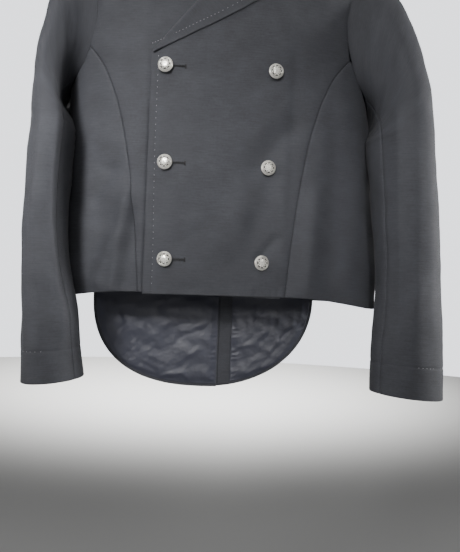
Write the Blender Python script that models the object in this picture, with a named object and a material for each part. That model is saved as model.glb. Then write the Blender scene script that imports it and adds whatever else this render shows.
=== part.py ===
"""A short double-breasted jacket that keeps the hollow form of its wearer, with a rounded tail.

Metres, +Z up. The origin is the middle of the neck opening, level with the points where the
shoulder seams reach the neck. The front faces -Y, and the wearer's left side is +X.

The body is one smooth surface, an oval for each height, and each body panel is a patch of it with
a wall inside. A place on it is a turn around the body, from 0 at the centre front to plus or minus
pi at the centre back, and a height.
"""

import math
from collections import namedtuple

import bmesh
import bpy
import numpy as np
from mathutils import Matrix, Vector

CLOTH_WALL = 0.0016
LINING_WALL = 0.0010
SEAM_GAP = 0.0003
LAYER_GAP = 0.0007

# Body ovals, from the foot of the tail up to the neck
BodySection = namedtuple("BodySection", "height half_width front_depth back_depth shift")
BODY = (
    BodySection(-0.680, 0.228, 0.072, 0.058, 0.006),
    BodySection(-0.530, 0.232, 0.076, 0.060, 0.006),
    BodySection(-0.440, 0.222, 0.078, 0.059, 0.005),
    BodySection(-0.350, 0.213, 0.080, 0.061, 0.004),
    BodySection(-0.250, 0.211, 0.080, 0.065, 0.003),
    BodySection(-0.150, 0.213, 0.077, 0.068, 0.002),
    BodySection(-0.090, 0.214, 0.069, 0.065, 0.001),
    BodySection(-0.060, 0.211, 0.062, 0.061, 0.000),
    BodySection(-0.045, 0.205, 0.058, 0.058, 0.000),
    BodySection(-0.030, 0.165, 0.054, 0.055, 0.000),
    BodySection(-0.015, 0.120, 0.050, 0.052, 0.000),
    BodySection(0.000, 0.076, 0.046, 0.049, 0.000),
)
OVAL_SQUARENESS = 2.5
# The curve's radius at the side seams, which turns a width there into a turn
SIDE_RADIUS = 0.070

# Soft folds of the body, as straight ridges and troughs; height_out is below zero for a trough
Fold = namedtuple("Fold", "side x_top z_top x_foot z_foot half_breadth height_out")
FRONT, BACK = -1, 1
FOLDS = (
    Fold(FRONT, -0.128, -0.400, -0.150, -0.520, 0.016, 0.0030),
    Fold(FRONT, -0.146, -0.440, -0.168, -0.520, 0.014, -0.0026),
    Fold(FRONT, -0.152, -0.365, -0.172, -0.415, 0.018, -0.0028),
    Fold(FRONT, 0.150, -0.380, 0.138, -0.520, 0.018, 0.0028),
    Fold(FRONT, 0.176, -0.330, 0.168, -0.520, 0.016, -0.0026),
    Fold(FRONT, 0.085, -0.300, 0.040, -0.360, 0.018, -0.0022),
    Fold(FRONT, 0.078, -0.448, 0.058, -0.470, 0.014, -0.0020),
    Fold(BACK, -0.120, -0.250, -0.095, -0.500, 0.022, -0.0030),
    Fold(BACK, 0.125, -0.260, 0.102, -0.510, 0.024, -0.0030),
    Fold(BACK, -0.060, -0.120, -0.115, -0.210, 0.020, 0.0026),
    Fold(BACK, 0.064, -0.125, 0.118, -0.215, 0.020, 0.0026),
)

# Heights of the main marks
SHOULDER_END = -0.045
ARMPIT = -0.250
BREAK_HEIGHT = -0.205
VENT_TOP = -0.430
HEM_MIDDLE = -0.5255
HEM_SIDE = -0.533
HEM_BACK = -0.530
TAIL_FOOT = -0.668

ARMHOLE_TURN = math.radians(40)
OVERLAP_EDGE = 0.091
ROLL_TOP_X = 0.0755
FRONT_LIFT = 0.0013
# The lift ends between these distances from the middle, and between these heights
LIFT_SIDES = (0.101, 0.089)
LIFT_TOPS = (-0.025, -0.085)

SeamPoint = namedtuple("SeamPoint", "height x")
PRINCESS_TOP = -0.195
SEAM_ROWS = 13
PRINCESS = (
    SeamPoint(-0.523, 0.0978),
    SeamPoint(-0.455, 0.1035),
    SeamPoint(-0.376, 0.1125),
    SeamPoint(-0.337, 0.1190),
    SeamPoint(-0.300, 0.1270),
    SeamPoint(-0.255, 0.1410),
    SeamPoint(-0.220, 0.1580),
    SeamPoint(PRINCESS_TOP, 0.1780),
)

# The tail hangs a little to one side of the vent
Tail = namedtuple("Tail", "reach squareness")
TAIL_MIDDLE = -0.0065
TAILS = {1: Tail(0.1665, 2.1), -1: Tail(0.1665, 2.45)}
BACK_SEAM_X = 0.011
VENT_LAP = 0.006
VENT_TUCK = 0.0022
# The tuck fades out between these distances from the vent
TUCK_REACH = (0.110, 0.022)
TAIL_CORNER = math.radians(50)
LINING_TOP = -0.490
LINING_INSET = 0.0045
LINING_PAST_VENT = 0.0015
FACING_INNER_X = 0.0180
FACING_OUTER_X = 0.0370

# Lapels: the gorge is where a lapel meets the collar
GORGE_INNER = (0.0475, -0.0350)
NOTCH = (0.0950, -0.0660)
PEAK = (0.1480, -0.0520)
LAPEL_BELLY = 0.009
LAPEL_FOOT = (0.0880, -0.2090)
# The shares of its roll line and its edge at which the right lapel comes out from under the left
RIGHT_LAPEL_SHOWS = (0.664, 0.516)

# Collar: the heights of its fold over the neck seam and where its outer edge lies
COLLAR_LIFT = 0.0030
COLLAR_BEND = 0.0026
COLLAR_LEAN = 0.002
CollarStation = namedtuple(
    "CollarStation", "along seam_turn seam_height seam_out stand edge_turn edge_height"
)

# Sleeves, below the armhole, for the wearer's left (1) and right (-1)
SleeveSection = namedtuple("SleeveSection", "height middle forward half_width half_depth")
SLEEVES = {
    1: (
        SleeveSection(-0.310, 0.2545, 0.044, 0.0430, 0.070),
        SleeveSection(-0.360, 0.2585, 0.053, 0.0431, 0.060),
        SleeveSection(-0.410, 0.2625, 0.058, 0.0432, 0.053),
        SleeveSection(-0.510, 0.2685, 0.062, 0.0435, 0.047),
        SleeveSection(-0.550, 0.2698, 0.062, 0.0458, 0.045),
        SleeveSection(-0.585, 0.2705, 0.061, 0.0485, 0.042),
        SleeveSection(-0.650, 0.2725, 0.060, 0.0500, 0.040),
    ),
    -1: (
        SleeveSection(-0.310, 0.2145, 0.050, 0.0265, 0.085),
        SleeveSection(-0.360, 0.2150, 0.069, 0.0265, 0.071),
        SleeveSection(-0.410, 0.2155, 0.084, 0.0265, 0.057),
        SleeveSection(-0.460, 0.2140, 0.090, 0.0285, 0.051),
        SleeveSection(-0.510, 0.2090, 0.092, 0.0315, 0.049),
        SleeveSection(-0.550, 0.2040, 0.093, 0.0345, 0.048),
        SleeveSection(-0.590, 0.2020, 0.094, 0.0355, 0.047),
        SleeveSection(-0.636, 0.1975, 0.095, 0.0385, 0.046),
    ),
}
CUFF_TILT = 0.004
# How the sleeve's outer and under lines leave the armhole and come into the free sleeve
Bend = namedtuple("Bend", "leaving arriving")
OUTER_BEND = {
    1: Bend((0.257, 0.004, -0.068), (0.289, 0.040, -0.165)),
    -1: Bend((0.228, 0.006, -0.070), (0.2395, 0.058, -0.170)),
}
UNDER_BEND = {
    1: Bend((0.216, 0.000, -0.273), (0.2125, 0.038, -0.290)),
    -1: Bend((0.215, 0.000, -0.273), (0.1950, 0.052, -0.290)),
}
# The cloth's fullness under the arm, which is most a third of the way to the free sleeve
UNDERARM_FULLNESS = {1: 0.006, -1: 0.007}
FULLEST_SHARE = 4 / 27
SLEEVE_FRONT_SEAM = math.radians(150)
SLEEVE_BACK_SEAM = math.radians(-125)
SLEEVE_SEAM_GAP = 0.0013
# The share of the way to the free sleeve over which the sleeve lies on the body
ON_THE_BODY = 0.1
SEAT_CLEARANCE = 0.0024
CAP_RISE = 0.0030
SEAT_RISE = 0.0010
SLEEVE_CLEARANCE = 0.0029
SLEEVE_RADIUS = 0.045
ARMHOLE_HALF_DEPTH = 0.056
ARMHOLE_FLARE = 1.03
# The step in angle and along over which a sleeve's outward direction is taken
NORMAL_STEP = 0.02

# Buttons
BUTTON_ROWS = ((-0.226, 0.0720), (-0.3525, 0.0677), (-0.4785, 0.0631))
BUTTON_TILT = {(1, 0): 3, (1, 1): 5, (1, 2): 11, (-1, 0): -3, (-1, 1): -4, (-1, 2): -4}
ButtonRing = namedtuple("ButtonRing", "radius height")
BUTTON_PROFILE = (
    ButtonRing(0.0022, 0.0004),
    ButtonRing(0.0022, 0.0032),
    ButtonRing(0.0088, 0.0036),
    ButtonRing(0.0100, 0.0046),
    ButtonRing(0.0096, 0.0056),
    ButtonRing(0.0080, 0.0068),
    ButtonRing(0.0048, 0.0080),
)
BUTTON_CROWN = 0.0084
BUTTON_SIDES = 14

Finish = namedtuple("Finish", "color roughness metallic")
CLOTH = Finish((0.030, 0.032, 0.040, 1), 0.72, 0.0)
SATIN = Finish((0.045, 0.046, 0.066, 1), 0.40, 0.0)
METAL = Finish((0.58, 0.55, 0.50, 1), 0.28, 1.0)


def profile(table, column):
    """A smooth curve through one column of a table whose first column is the height."""
    heights = np.array([row[0] for row in table], float)
    values = np.array([getattr(row, column) for row in table], float)
    if heights[0] > heights[-1]:
        heights, values = heights[::-1], values[::-1]
    slopes = np.gradient(values, heights)

    def at(height):
        height = np.clip(height, heights[0], heights[-1])
        low = int(np.clip(np.searchsorted(heights, height) - 1, 0, len(heights) - 2))
        span = heights[low + 1] - heights[low]
        k = (height - heights[low]) / span
        rise = k * k * (3 - 2 * k)
        start = k * (1 - k) ** 2 * span * slopes[low]
        end = -k * k * (1 - k) * span * slopes[low + 1]
        return float(values[low] + (values[low + 1] - values[low]) * rise + start + end)

    return at


HALF_WIDTH = profile(BODY, "half_width")
FRONT_DEPTH = profile(BODY, "front_depth")
BACK_DEPTH = profile(BODY, "back_depth")
SHIFT = profile(BODY, "shift")
PRINCESS_X = profile(PRINCESS, "x")


def ease(value, start, end):
    """0 before start, 1 after end, smooth between."""
    k = min(1.0, max(0.0, (value - start) / (end - start)))
    return k * k * (3 - 2 * k)


def signed_power(value, power):
    return math.copysign(abs(value) ** power, value)


def blend(a, b, k):
    return tuple(p + (q - p) * k for p, q in zip(a, b))


def fold_height(x, z, side):
    """How far the soft folds lift the cloth here."""
    total = 0.0
    for fold in FOLDS:
        if fold.side != side:
            continue
        run_x, run_z = fold.x_foot - fold.x_top, fold.z_foot - fold.z_top
        length = math.hypot(run_x, run_z)
        along = ((x - fold.x_top) * run_x + (z - fold.z_top) * run_z) / length
        across = ((x - fold.x_top) * run_z - (z - fold.z_top) * run_x) / length
        past = max(0.0, -along, along - length)
        total += fold.height_out * math.exp(-(across**2 + past**2) / (2 * fold.half_breadth**2))
    return total


def oval_point(turn, z):
    depth = FRONT_DEPTH(z) if math.cos(turn) > 0 else BACK_DEPTH(z)
    power = 2 / OVAL_SQUARENESS
    x = SHIFT(z) + HALF_WIDTH(z) * signed_power(math.sin(turn), power)
    return Vector((x, -depth * signed_power(math.cos(turn), power), z))


def body_point(turn, z, out=0.0):
    """A point at this turn and height, moved out from the body's surface."""
    step = 0.004
    across = oval_point(turn + step, z) - oval_point(turn - step, z)
    up = oval_point(turn, min(0.0, z + step)) - oval_point(turn, z - step)
    normal = across.cross(up).normalized()
    point = oval_point(turn, z)
    side = FRONT if math.cos(turn) > 0 else BACK
    return point + normal * (out + fold_height(point.x, z, side))


def turn_at(x, z, wearer_side=1, back=False):
    """The turn at which the front or the back of the body passes x."""
    share = min(1.0, max(-1.0, (x - SHIFT(z)) / HALF_WIDTH(z)))
    turn = math.asin(signed_power(share, OVAL_SQUARENESS / 2))
    return wearer_side * math.pi - turn if back else turn


def clear_of_body(point, clearance):
    """The point, moved out where it would be nearer than this to the body's surface."""

    def size(p):
        z = min(0.0, p.z)
        depth = FRONT_DEPTH(z) if p.y < 0 else BACK_DEPTH(z)
        across = abs((p.x - SHIFT(z)) / HALF_WIDTH(z)) ** OVAL_SQUARENESS
        return (across + abs(p.y / depth) ** OVAL_SQUARENESS) ** (1 / OVAL_SQUARENESS)

    step = 0.0005
    point = point.copy()
    for _ in range(4):
        here = size(point)
        slope = Vector([(size(point + axis * step) - here) / step for axis in Matrix.Identity(3)])
        short = clearance - (here - 1) / slope.length
        if short <= 0:
            break
        point += slope.normalized() * short
    return point


def shares(count):
    return np.linspace(0, 1, count + 1)


def patch(bottom, top, start, end, columns, row_shares):
    """Places between four edges, each a function from 0 to 1, row by row from the bottom."""
    corners = [np.array(corner) for corner in (bottom(0), bottom(1), top(0), top(1))]
    grid = []
    for v in row_shares:
        line = []
        for column in range(columns + 1):
            c = column / columns
            across = (1 - c) * np.array(start(v)) + c * np.array(end(v))
            along = (1 - v) * np.array(bottom(c)) + v * np.array(top(c))
            low = (1 - c) * corners[0] + c * corners[1]
            high = (1 - c) * corners[2] + c * corners[3]
            line.append(tuple(across + along - (1 - v) * low - v * high))
        grid.append(line)
    return grid


def through(points):
    """A path of straight runs through points, as a function from 0 to 1 by length."""
    points = [np.array(point, float) for point in points]
    reach = np.cumsum([0] + [np.linalg.norm(b - a) for a, b in zip(points, points[1:])])

    def at(k):
        columns = [np.interp(k * reach[-1], reach, [p[i] for p in points]) for i in (0, 1)]
        return tuple(columns)

    return at


def give_finish(thing, finish):
    material = bpy.data.materials.new(thing.name)
    material.use_nodes = True
    shader = material.node_tree.nodes["Principled BSDF"]
    shader.inputs["Base Color"].default_value = finish.color
    shader.inputs["Roughness"].default_value = finish.roughness
    shader.inputs["Metallic"].default_value = finish.metallic
    thing.data.materials.append(material)


def add_object(name, mesh, finish):
    """Puts a bmesh into the scene as one named object with its own material."""
    bmesh.ops.recalc_face_normals(mesh, faces=mesh.faces)
    data = bpy.data.meshes.new(name)
    mesh.to_mesh(data)
    mesh.free()
    data.shade_smooth()
    thing = bpy.data.objects.new(name, data)
    bpy.context.scene.collection.objects.link(thing)
    give_finish(thing, finish)
    return thing


def split_like(quad):
    """Two triangles of a four-sided face, along its shorter diagonal. Both skins of a wall take
    the same split, so a twisted wall keeps its thickness."""
    first = (quad[0].co - quad[2].co).length
    second = (quad[1].co - quad[3].co).length
    return ((0, 1, 2), (0, 2, 3)) if first <= second else ((1, 2, 3), (1, 3, 0))


def add_wall(name, grids, finish):
    """A wall between outer and inner skins. Each grid is a pair of row lists, and grids that share
    an edge become one wall."""
    mesh = bmesh.new()
    skins = ({}, {})
    outline = {}

    def vertex(skin, point):
        key = tuple(round(value, 6) for value in point)
        if key not in skins[skin]:
            skins[skin][key] = mesh.verts.new(point)
        return skins[skin][key]

    for outer, inner in grids:
        for row in range(len(outer) - 1):
            for column in range(len(outer[0]) - 1):
                places = ((row, column), (row, column + 1), (row + 1, column + 1), (row + 1, column))
                front = [vertex(0, outer[r][c]) for r, c in places]
                rear = [vertex(1, inner[r][c]) for r, c in places]
                for corners in split_like(front):
                    mesh.faces.new([front[i] for i in corners])
                    mesh.faces.new([rear[i] for i in reversed(corners)])
                for i in range(4):
                    j = (i + 1) % 4
                    side = frozenset((front[i], front[j]))
                    outline[side] = None if side in outline else (front[i], front[j], rear[j], rear[i])
    for face in outline.values():
        if face:
            mesh.faces.new(face[::-1])
    return add_object(name, mesh, finish)


def body_grid(places, wall, out=lambda point, z: 0.0):
    """The outer and inner skins of a patch of the body, moved out by the function out."""
    outer, inner = [], []
    for line in places:
        lifts = [out(oval_point(turn, z), z) for turn, z in line]
        outer.append([body_point(turn, z, lift) for (turn, z), lift in zip(line, lifts)])
        inner.append([body_point(turn, z, lift - wall) for (turn, z), lift in zip(line, lifts)])
    return outer, inner


def armhole(height, forward):
    """The turn of the left armhole's front (forward 1) or back (-1) edge."""
    share = (height - (SHOULDER_END + ARMPIT) / 2) / ((SHOULDER_END - ARMPIT) / 2)
    return math.pi / 2 - forward * ARMHOLE_TURN * math.sqrt(max(0.0, 1 - share**2))


def armhole_at(angle):
    """Turn and height on the left armhole, from 0 at the shoulder, by way of the front."""
    middle, half = (SHOULDER_END + ARMPIT) / 2, (SHOULDER_END - ARMPIT) / 2
    return math.pi / 2 - ARMHOLE_TURN * math.sin(angle), middle + half * math.cos(angle)


def armhole_heights(low, count):
    """Heights from low up to the shoulder's end, evenly round the armhole."""
    middle, half = (SHOULDER_END + ARMPIT) / 2, (SHOULDER_END - ARMPIT) / 2
    angles = np.linspace(math.acos(max(-1.0, (low - middle) / half)), 0, count + 1)
    return middle + half * np.cos(angles)


def mirrored(places, wearer_side):
    return places if wearer_side == 1 else [[(-turn, z) for turn, z in line] for line in places]


def turned(x, z, wearer_side):
    """The turn of a front place on one side, given by its distance x from the middle."""
    return wearer_side * turn_at(wearer_side * x, z)


def front_inner_edge(wearer_side):
    """The front's free edge from the hem up to the break, and then its roll line to the neck."""

    def at(v):
        z = HEM_MIDDLE * (1 - v)
        if z < BREAK_HEIGHT:
            return turned(-OVERLAP_EDGE, z, wearer_side), z
        k = 1 - z / BREAK_HEIGHT
        turn = turned(-OVERLAP_EDGE + (OVERLAP_EDGE + ROLL_TOP_X) * k, z, wearer_side)
        return turn + (math.pi / 2 - turn) * ease(k, 0.86, 1.0), z

    return at


def front_outer_edge(wearer_side, seam):
    """The princess seam up to the armhole, and then the armhole up to the shoulder's end."""

    def at(v):
        low = PRINCESS[0].height
        z = low + (SHOULDER_END - low) * v
        if z < PRINCESS_TOP:
            return turned(PRINCESS_X(z) - seam, z, wearer_side), z
        join = turned(PRINCESS_X(PRINCESS_TOP) - seam, PRINCESS_TOP, wearer_side)
        slip = join - armhole(PRINCESS_TOP, 1)
        return armhole(z, 1) + slip * ease(z, PRINCESS_TOP + 0.03, PRINCESS_TOP), z

    return at


def front_lift(wearer_side):
    """The wearer's left front lies over the right one, and both ease back to the body."""

    def at(point, z):
        x = point.x * wearer_side
        share = ease(x, *LIFT_SIDES) * ease(z, *LIFT_TOPS)
        return wearer_side * FRONT_LIFT * share

    return at


def make_front(wearer_side, name):
    start = front_inner_edge(wearer_side)
    end = front_outer_edge(wearer_side, SEAM_GAP / 2)
    bottom = through([start(0), blend(start(0), end(0), 0.5), end(0)])
    top = through([start(1), end(1)])
    low, high = PRINCESS[0].height, SHOULDER_END
    upper = armhole_heights(PRINCESS_TOP, 9)[1:]
    heights = np.concatenate([np.linspace(low, PRINCESS_TOP, SEAM_ROWS + 1), upper])
    places = patch(bottom, top, start, end, 12, (heights - low) / (high - low))
    grid = body_grid(mirrored(places, wearer_side), CLOTH_WALL, front_lift(wearer_side))
    return add_wall(name, [grid], CLOTH)


def side_seam_turn(seam):
    return math.pi / 2 - seam / SIDE_RADIUS


def make_side_front(wearer_side, name):
    """The panel between the princess seam and the side seam, under the armhole."""
    low = PRINCESS[0].height

    def start(v):
        z = low + (PRINCESS_TOP - low) * v
        return turned(PRINCESS_X(z) + SEAM_GAP / 2, z, wearer_side), z

    def end(v):
        return side_seam_turn(SEAM_GAP / 2), HEM_SIDE + (ARMPIT - HEM_SIDE) * v

    angles = np.linspace(math.acos((PRINCESS_TOP - (SHOULDER_END + ARMPIT) / 2)
                                   / ((SHOULDER_END - ARMPIT) / 2)), math.pi, 7)
    arc = [armhole_at(angle) for angle in angles]
    top = through([start(1)] + arc[1:-1] + [end(1)])
    hem = [blend(start(0), end(0), k) for k in (0, 0.25, 0.5, 0.75, 1)]
    hem = [(turn, low + (HEM_SIDE - 0.003 - low) * ease(turn, hem[0][0], hem[3][0])) for turn, z in hem]
    hem[-1] = end(0)
    places = patch(through(hem), top, start, end, 7, shares(SEAM_ROWS))
    return add_wall(name, [body_grid(mirrored(places, wearer_side), CLOTH_WALL)], CLOTH)


def back_seam_x(z):
    return BACK_SEAM_X * ease(z, 0.0, HEM_BACK)


def vent_tuck(point, z):
    """The wearer's right tail lies inside the left one along the vent."""
    near = ease(abs(point.x - back_seam_x(z)), *TUCK_REACH)
    return -VENT_TUCK * near * ease(z, VENT_TOP + 0.045, VENT_TOP + 0.012)


def back_inner_edge(wearer_side):
    """X of a back panel's edge along the back seam and, below it, along the vent."""

    def at(z):
        lap = (VENT_LAP + SEAM_GAP / 2) * ease(z, VENT_TOP, VENT_TOP - 0.012)
        return back_seam_x(z) + wearer_side * (SEAM_GAP / 2 - lap)

    return at


def tail_outline(wearer_side, inset=0.0):
    """X and height on the tail's rounded edge, by an angle that is 0 at its side."""
    tail = TAILS[wearer_side]
    power = 2 / tail.squareness

    def at(angle):
        x = TAIL_MIDDLE + wearer_side * (tail.reach - inset) * signed_power(math.cos(angle), power)
        drop = (HEM_BACK - TAIL_FOOT - inset) * signed_power(math.sin(angle), power)
        return x, HEM_BACK - drop

    return at


def tail_end_angle(wearer_side, x, inset=0.0):
    """The angle at which the tail's edge passes x."""
    tail = TAILS[wearer_side]
    share = wearer_side * (x - TAIL_MIDDLE) / (tail.reach - inset)
    return math.acos(signed_power(share, tail.squareness / 2))


def tail_patch(wearer_side, inner_x, outer_start, inset, columns, rows=7):
    """X and height over a tail, from its inner edge to its rounded one and down to its foot."""
    outline = tail_outline(wearer_side, inset)
    foot_angle = tail_end_angle(wearer_side, inner_x(TAIL_FOOT), inset)
    foot = outline(foot_angle)[1]
    corner = TAIL_CORNER

    def bottom(c):
        return outline(foot_angle + (corner - foot_angle) * c)

    def end(v):
        return outline(corner * (1 - v))

    def start(v):
        z = foot + (HEM_BACK - foot) * v
        return inner_x(z), z

    top = through([start(1), (outer_start, HEM_BACK)])
    return patch(bottom, top, start, end, columns, shares(rows))


def make_back(wearer_side, name):
    """Half of the back with its half of the tail, as one wall."""
    inner_x = back_inner_edge(wearer_side)
    tail_start = tail_outline(wearer_side)(0)[0]
    tail_columns, columns = 6, 13

    def start(v):
        z = HEM_BACK * (1 - v)
        return wearer_side * turn_at(inner_x(z), z, wearer_side, back=True), z

    def end(v):
        z = HEM_BACK * (1 - v)
        seam = side_seam_turn(-SEAM_GAP / 2)
        if z < ARMPIT or z > SHOULDER_END:
            return seam, z
        return max(seam, armhole(z, -1)), z

    tail_turn = wearer_side * turn_at(tail_start, HEM_BACK, wearer_side, back=True)
    tail_share = tail_columns / columns

    def bottom(c):
        first, last = start(0)[0], end(0)[0]
        if c <= tail_share:
            turn = first + (tail_turn - first) * c / tail_share
            return turn, HEM_BACK
        k = (c - tail_share) / (1 - tail_share)
        return tail_turn + (last - tail_turn) * k, HEM_BACK

    top = through([start(1), end(1)])
    heights = np.concatenate([
        np.linspace(HEM_BACK, ARMPIT, 9), armhole_heights(ARMPIT, 10)[1:],
        SHOULDER_END * (1 - shares(4)[1:]),
    ])
    upper = patch(bottom, top, start, end, columns, 1 - heights / HEM_BACK)

    tail = tail_patch(wearer_side, inner_x, tail_start, 0.0, tail_columns)
    tail = [[(wearer_side * turn_at(x, z, wearer_side, back=True), z) for x, z in line] for line in tail]
    tail[-1] = upper[0][: tail_columns + 1]
    out = vent_tuck if wearer_side == -1 else (lambda point, z: 0.0)
    grids = [body_grid(mirrored(part, wearer_side), CLOTH_WALL, out) for part in (upper, tail)]
    return add_wall(name, grids, CLOTH)


def tail_layer(wearer_side, name, inner_x, outline_inset, finish, columns=6):
    """A layer on the inside of a tail, made from the tail's places moved in."""
    reach = tail_outline(wearer_side, outline_inset)(0)[0]
    places = tail_patch(wearer_side, inner_x, reach, outline_inset, columns)
    rise = [(x, z + LINING_TOP - HEM_BACK) for x, z in places[-1]]
    places.append(rise)
    tuck = vent_tuck if wearer_side == -1 else (lambda point, z: 0.0)
    depth = CLOTH_WALL + LAYER_GAP
    grid = [[(turn_at(x, z, wearer_side, back=True), z) for x, z in line] for line in places]
    skins = body_grid(grid, LINING_WALL, lambda point, z: tuck(point, z) - depth)
    return add_wall(name, [skins], finish)


def make_tail_insides():
    tail_layer(1, "left_tail_lining", lambda z: FACING_OUTER_X + SEAM_GAP, LINING_INSET, SATIN)
    inner_x = back_inner_edge(-1)
    tail_layer(-1, "right_tail_lining", lambda z: inner_x(z) - LINING_PAST_VENT, LINING_INSET, SATIN)
    places = []
    for z in np.linspace(LINING_TOP, TAIL_FOOT + LINING_INSET, 10):
        line = [FACING_INNER_X, (FACING_INNER_X + FACING_OUTER_X) / 2, FACING_OUTER_X]
        places.append([(turn_at(x, z, 1, back=True), z) for x in line])
    skins = body_grid(places, LINING_WALL, lambda point, z: -CLOTH_WALL - LAYER_GAP)
    add_wall("vent_facing", [skins], CLOTH)


def lapel_edge(start_share):
    """The lapel's outer edge on the left front, from its foot to the peak, a little full."""
    foot, peak = np.array((-LAPEL_FOOT[0], LAPEL_FOOT[1])), np.array(PEAK)
    run = peak - foot
    fullness = np.array((run[1], -run[0])) / np.linalg.norm(run) * LAPEL_BELLY

    def at(v):
        k = start_share + (1 - start_share) * v
        return tuple(foot + run * k + fullness * math.sin(math.pi * k) ** 1.2)

    return at


def roll_line(start_share):
    """X and height on the left front's roll line, up to the gorge."""
    foot = (-OVERLAP_EDGE, BREAK_HEIGHT)

    def at(v):
        return blend(foot, GORGE_INNER, start_share + (1 - start_share) * v)

    return at


def make_lapel(wearer_side, name, roll_start, edge_start, lift):
    start, end = roll_line(roll_start), lapel_edge(edge_start)
    gorge = (GORGE_INNER[0] + 0.0002, GORGE_INNER[1] - 0.0003)
    top = through([gorge, NOTCH, PEAK])
    bottom = through([start(0), end(0)])
    places = patch(bottom, top, lambda v: blend(start(v), gorge, ease(v, 0.9, 1.0)), end, 6, shares(11))
    turns = [[(turned(x, z, wearer_side), z) for x, z in line] for line in places]
    front = front_lift(wearer_side)

    def out(point, z):
        return front(point, z) + lift

    grid = body_grid(mirrored(turns, wearer_side), CLOTH_WALL, out)
    return add_wall(name, [grid], CLOTH)


def collar_stations():
    """The left half of the collar, from the gorge to the centre back."""
    gorge_turn = turned(GORGE_INNER[0], GORGE_INNER[1], 1)
    notch_turn = turned(NOTCH[0], NOTCH[1], 1)
    half = math.pi / 2
    return (
        CollarStation(0.0, gorge_turn, GORGE_INNER[1] + 0.002, 0.0032, 0.005, notch_turn, NOTCH[1] + 0.003),
        CollarStation(0.12, 0.75, -0.016, 0.0030, 0.011, 0.95, -0.037),
        CollarStation(0.25, half, 0.0014, -0.0010, 0.020, half, -0.0105),
        CollarStation(0.50, 2.05, 0.0014, -0.0010, 0.025, 2.05, -0.0155),
        CollarStation(0.75, 2.60, 0.0014, -0.0010, 0.027, 2.60, -0.0165),
        CollarStation(1.0, math.pi, 0.0014, -0.0010, 0.028, math.pi, -0.0170),
    )


def collar_section(station, wearer_side):
    """Points across the collar: up its stand, over the fold and down to its outer edge."""
    seam = body_point(wearer_side * station.seam_turn, station.seam_height, station.seam_out)
    edge = body_point(wearer_side * station.edge_turn, station.edge_height, COLLAR_LIFT)
    outward = Vector((seam.x, seam.y, 0)).normalized()
    fold = seam + Vector((0, 0, station.stand)) - outward * COLLAR_LEAN
    points = [seam, seam.lerp(fold, 0.5)]
    centre = fold + (outward - Vector((0, 0, 1))) * COLLAR_BEND
    for angle in np.linspace(0, math.pi, 5):
        around = Vector((0, 0, math.sin(angle))) - outward * math.cos(angle)
        points.append(centre + around * COLLAR_BEND)
    fall = [points[-1].lerp(edge, k) for k in (0.3, 0.65, 1.0)]
    return points + [clear_of_body(point, COLLAR_LIFT) for point in fall]


def thickened(section, wall):
    """The two skins of a section of cloth, half a wall to each side of its middle line."""
    outer, inner = [], []
    for i, point in enumerate(section):
        before, after = section[max(0, i - 1)], section[min(len(section) - 1, i + 1)]
        run = (after - before).normalized()
        flat = Vector((section[-1].x - section[0].x, section[-1].y - section[0].y, 0))
        plane = run.cross(Vector((-flat.y, flat.x, 0))).normalized()
        outer.append(point - plane * wall / 2)
        inner.append(point + plane * wall / 2)
    return outer, inner


def make_collar(name):
    stations = collar_stations()
    columns = {key: profile(stations, key) for key in CollarStation._fields[1:]}
    outer_rows, inner_rows = [], []
    half = shares(14)
    order = [(k, 1) for k in half] + [(k, -1) for k in half[-2::-1]]
    for along, wearer_side in order:
        values = {key: column(along) for key, column in columns.items()}
        section = collar_section(CollarStation(along=along, **values), wearer_side)
        outer, inner = thickened(section, CLOTH_WALL)
        outer_rows.append(outer)
        inner_rows.append(inner)
    return add_wall(name, [(outer_rows, inner_rows)], CLOTH)


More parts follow.
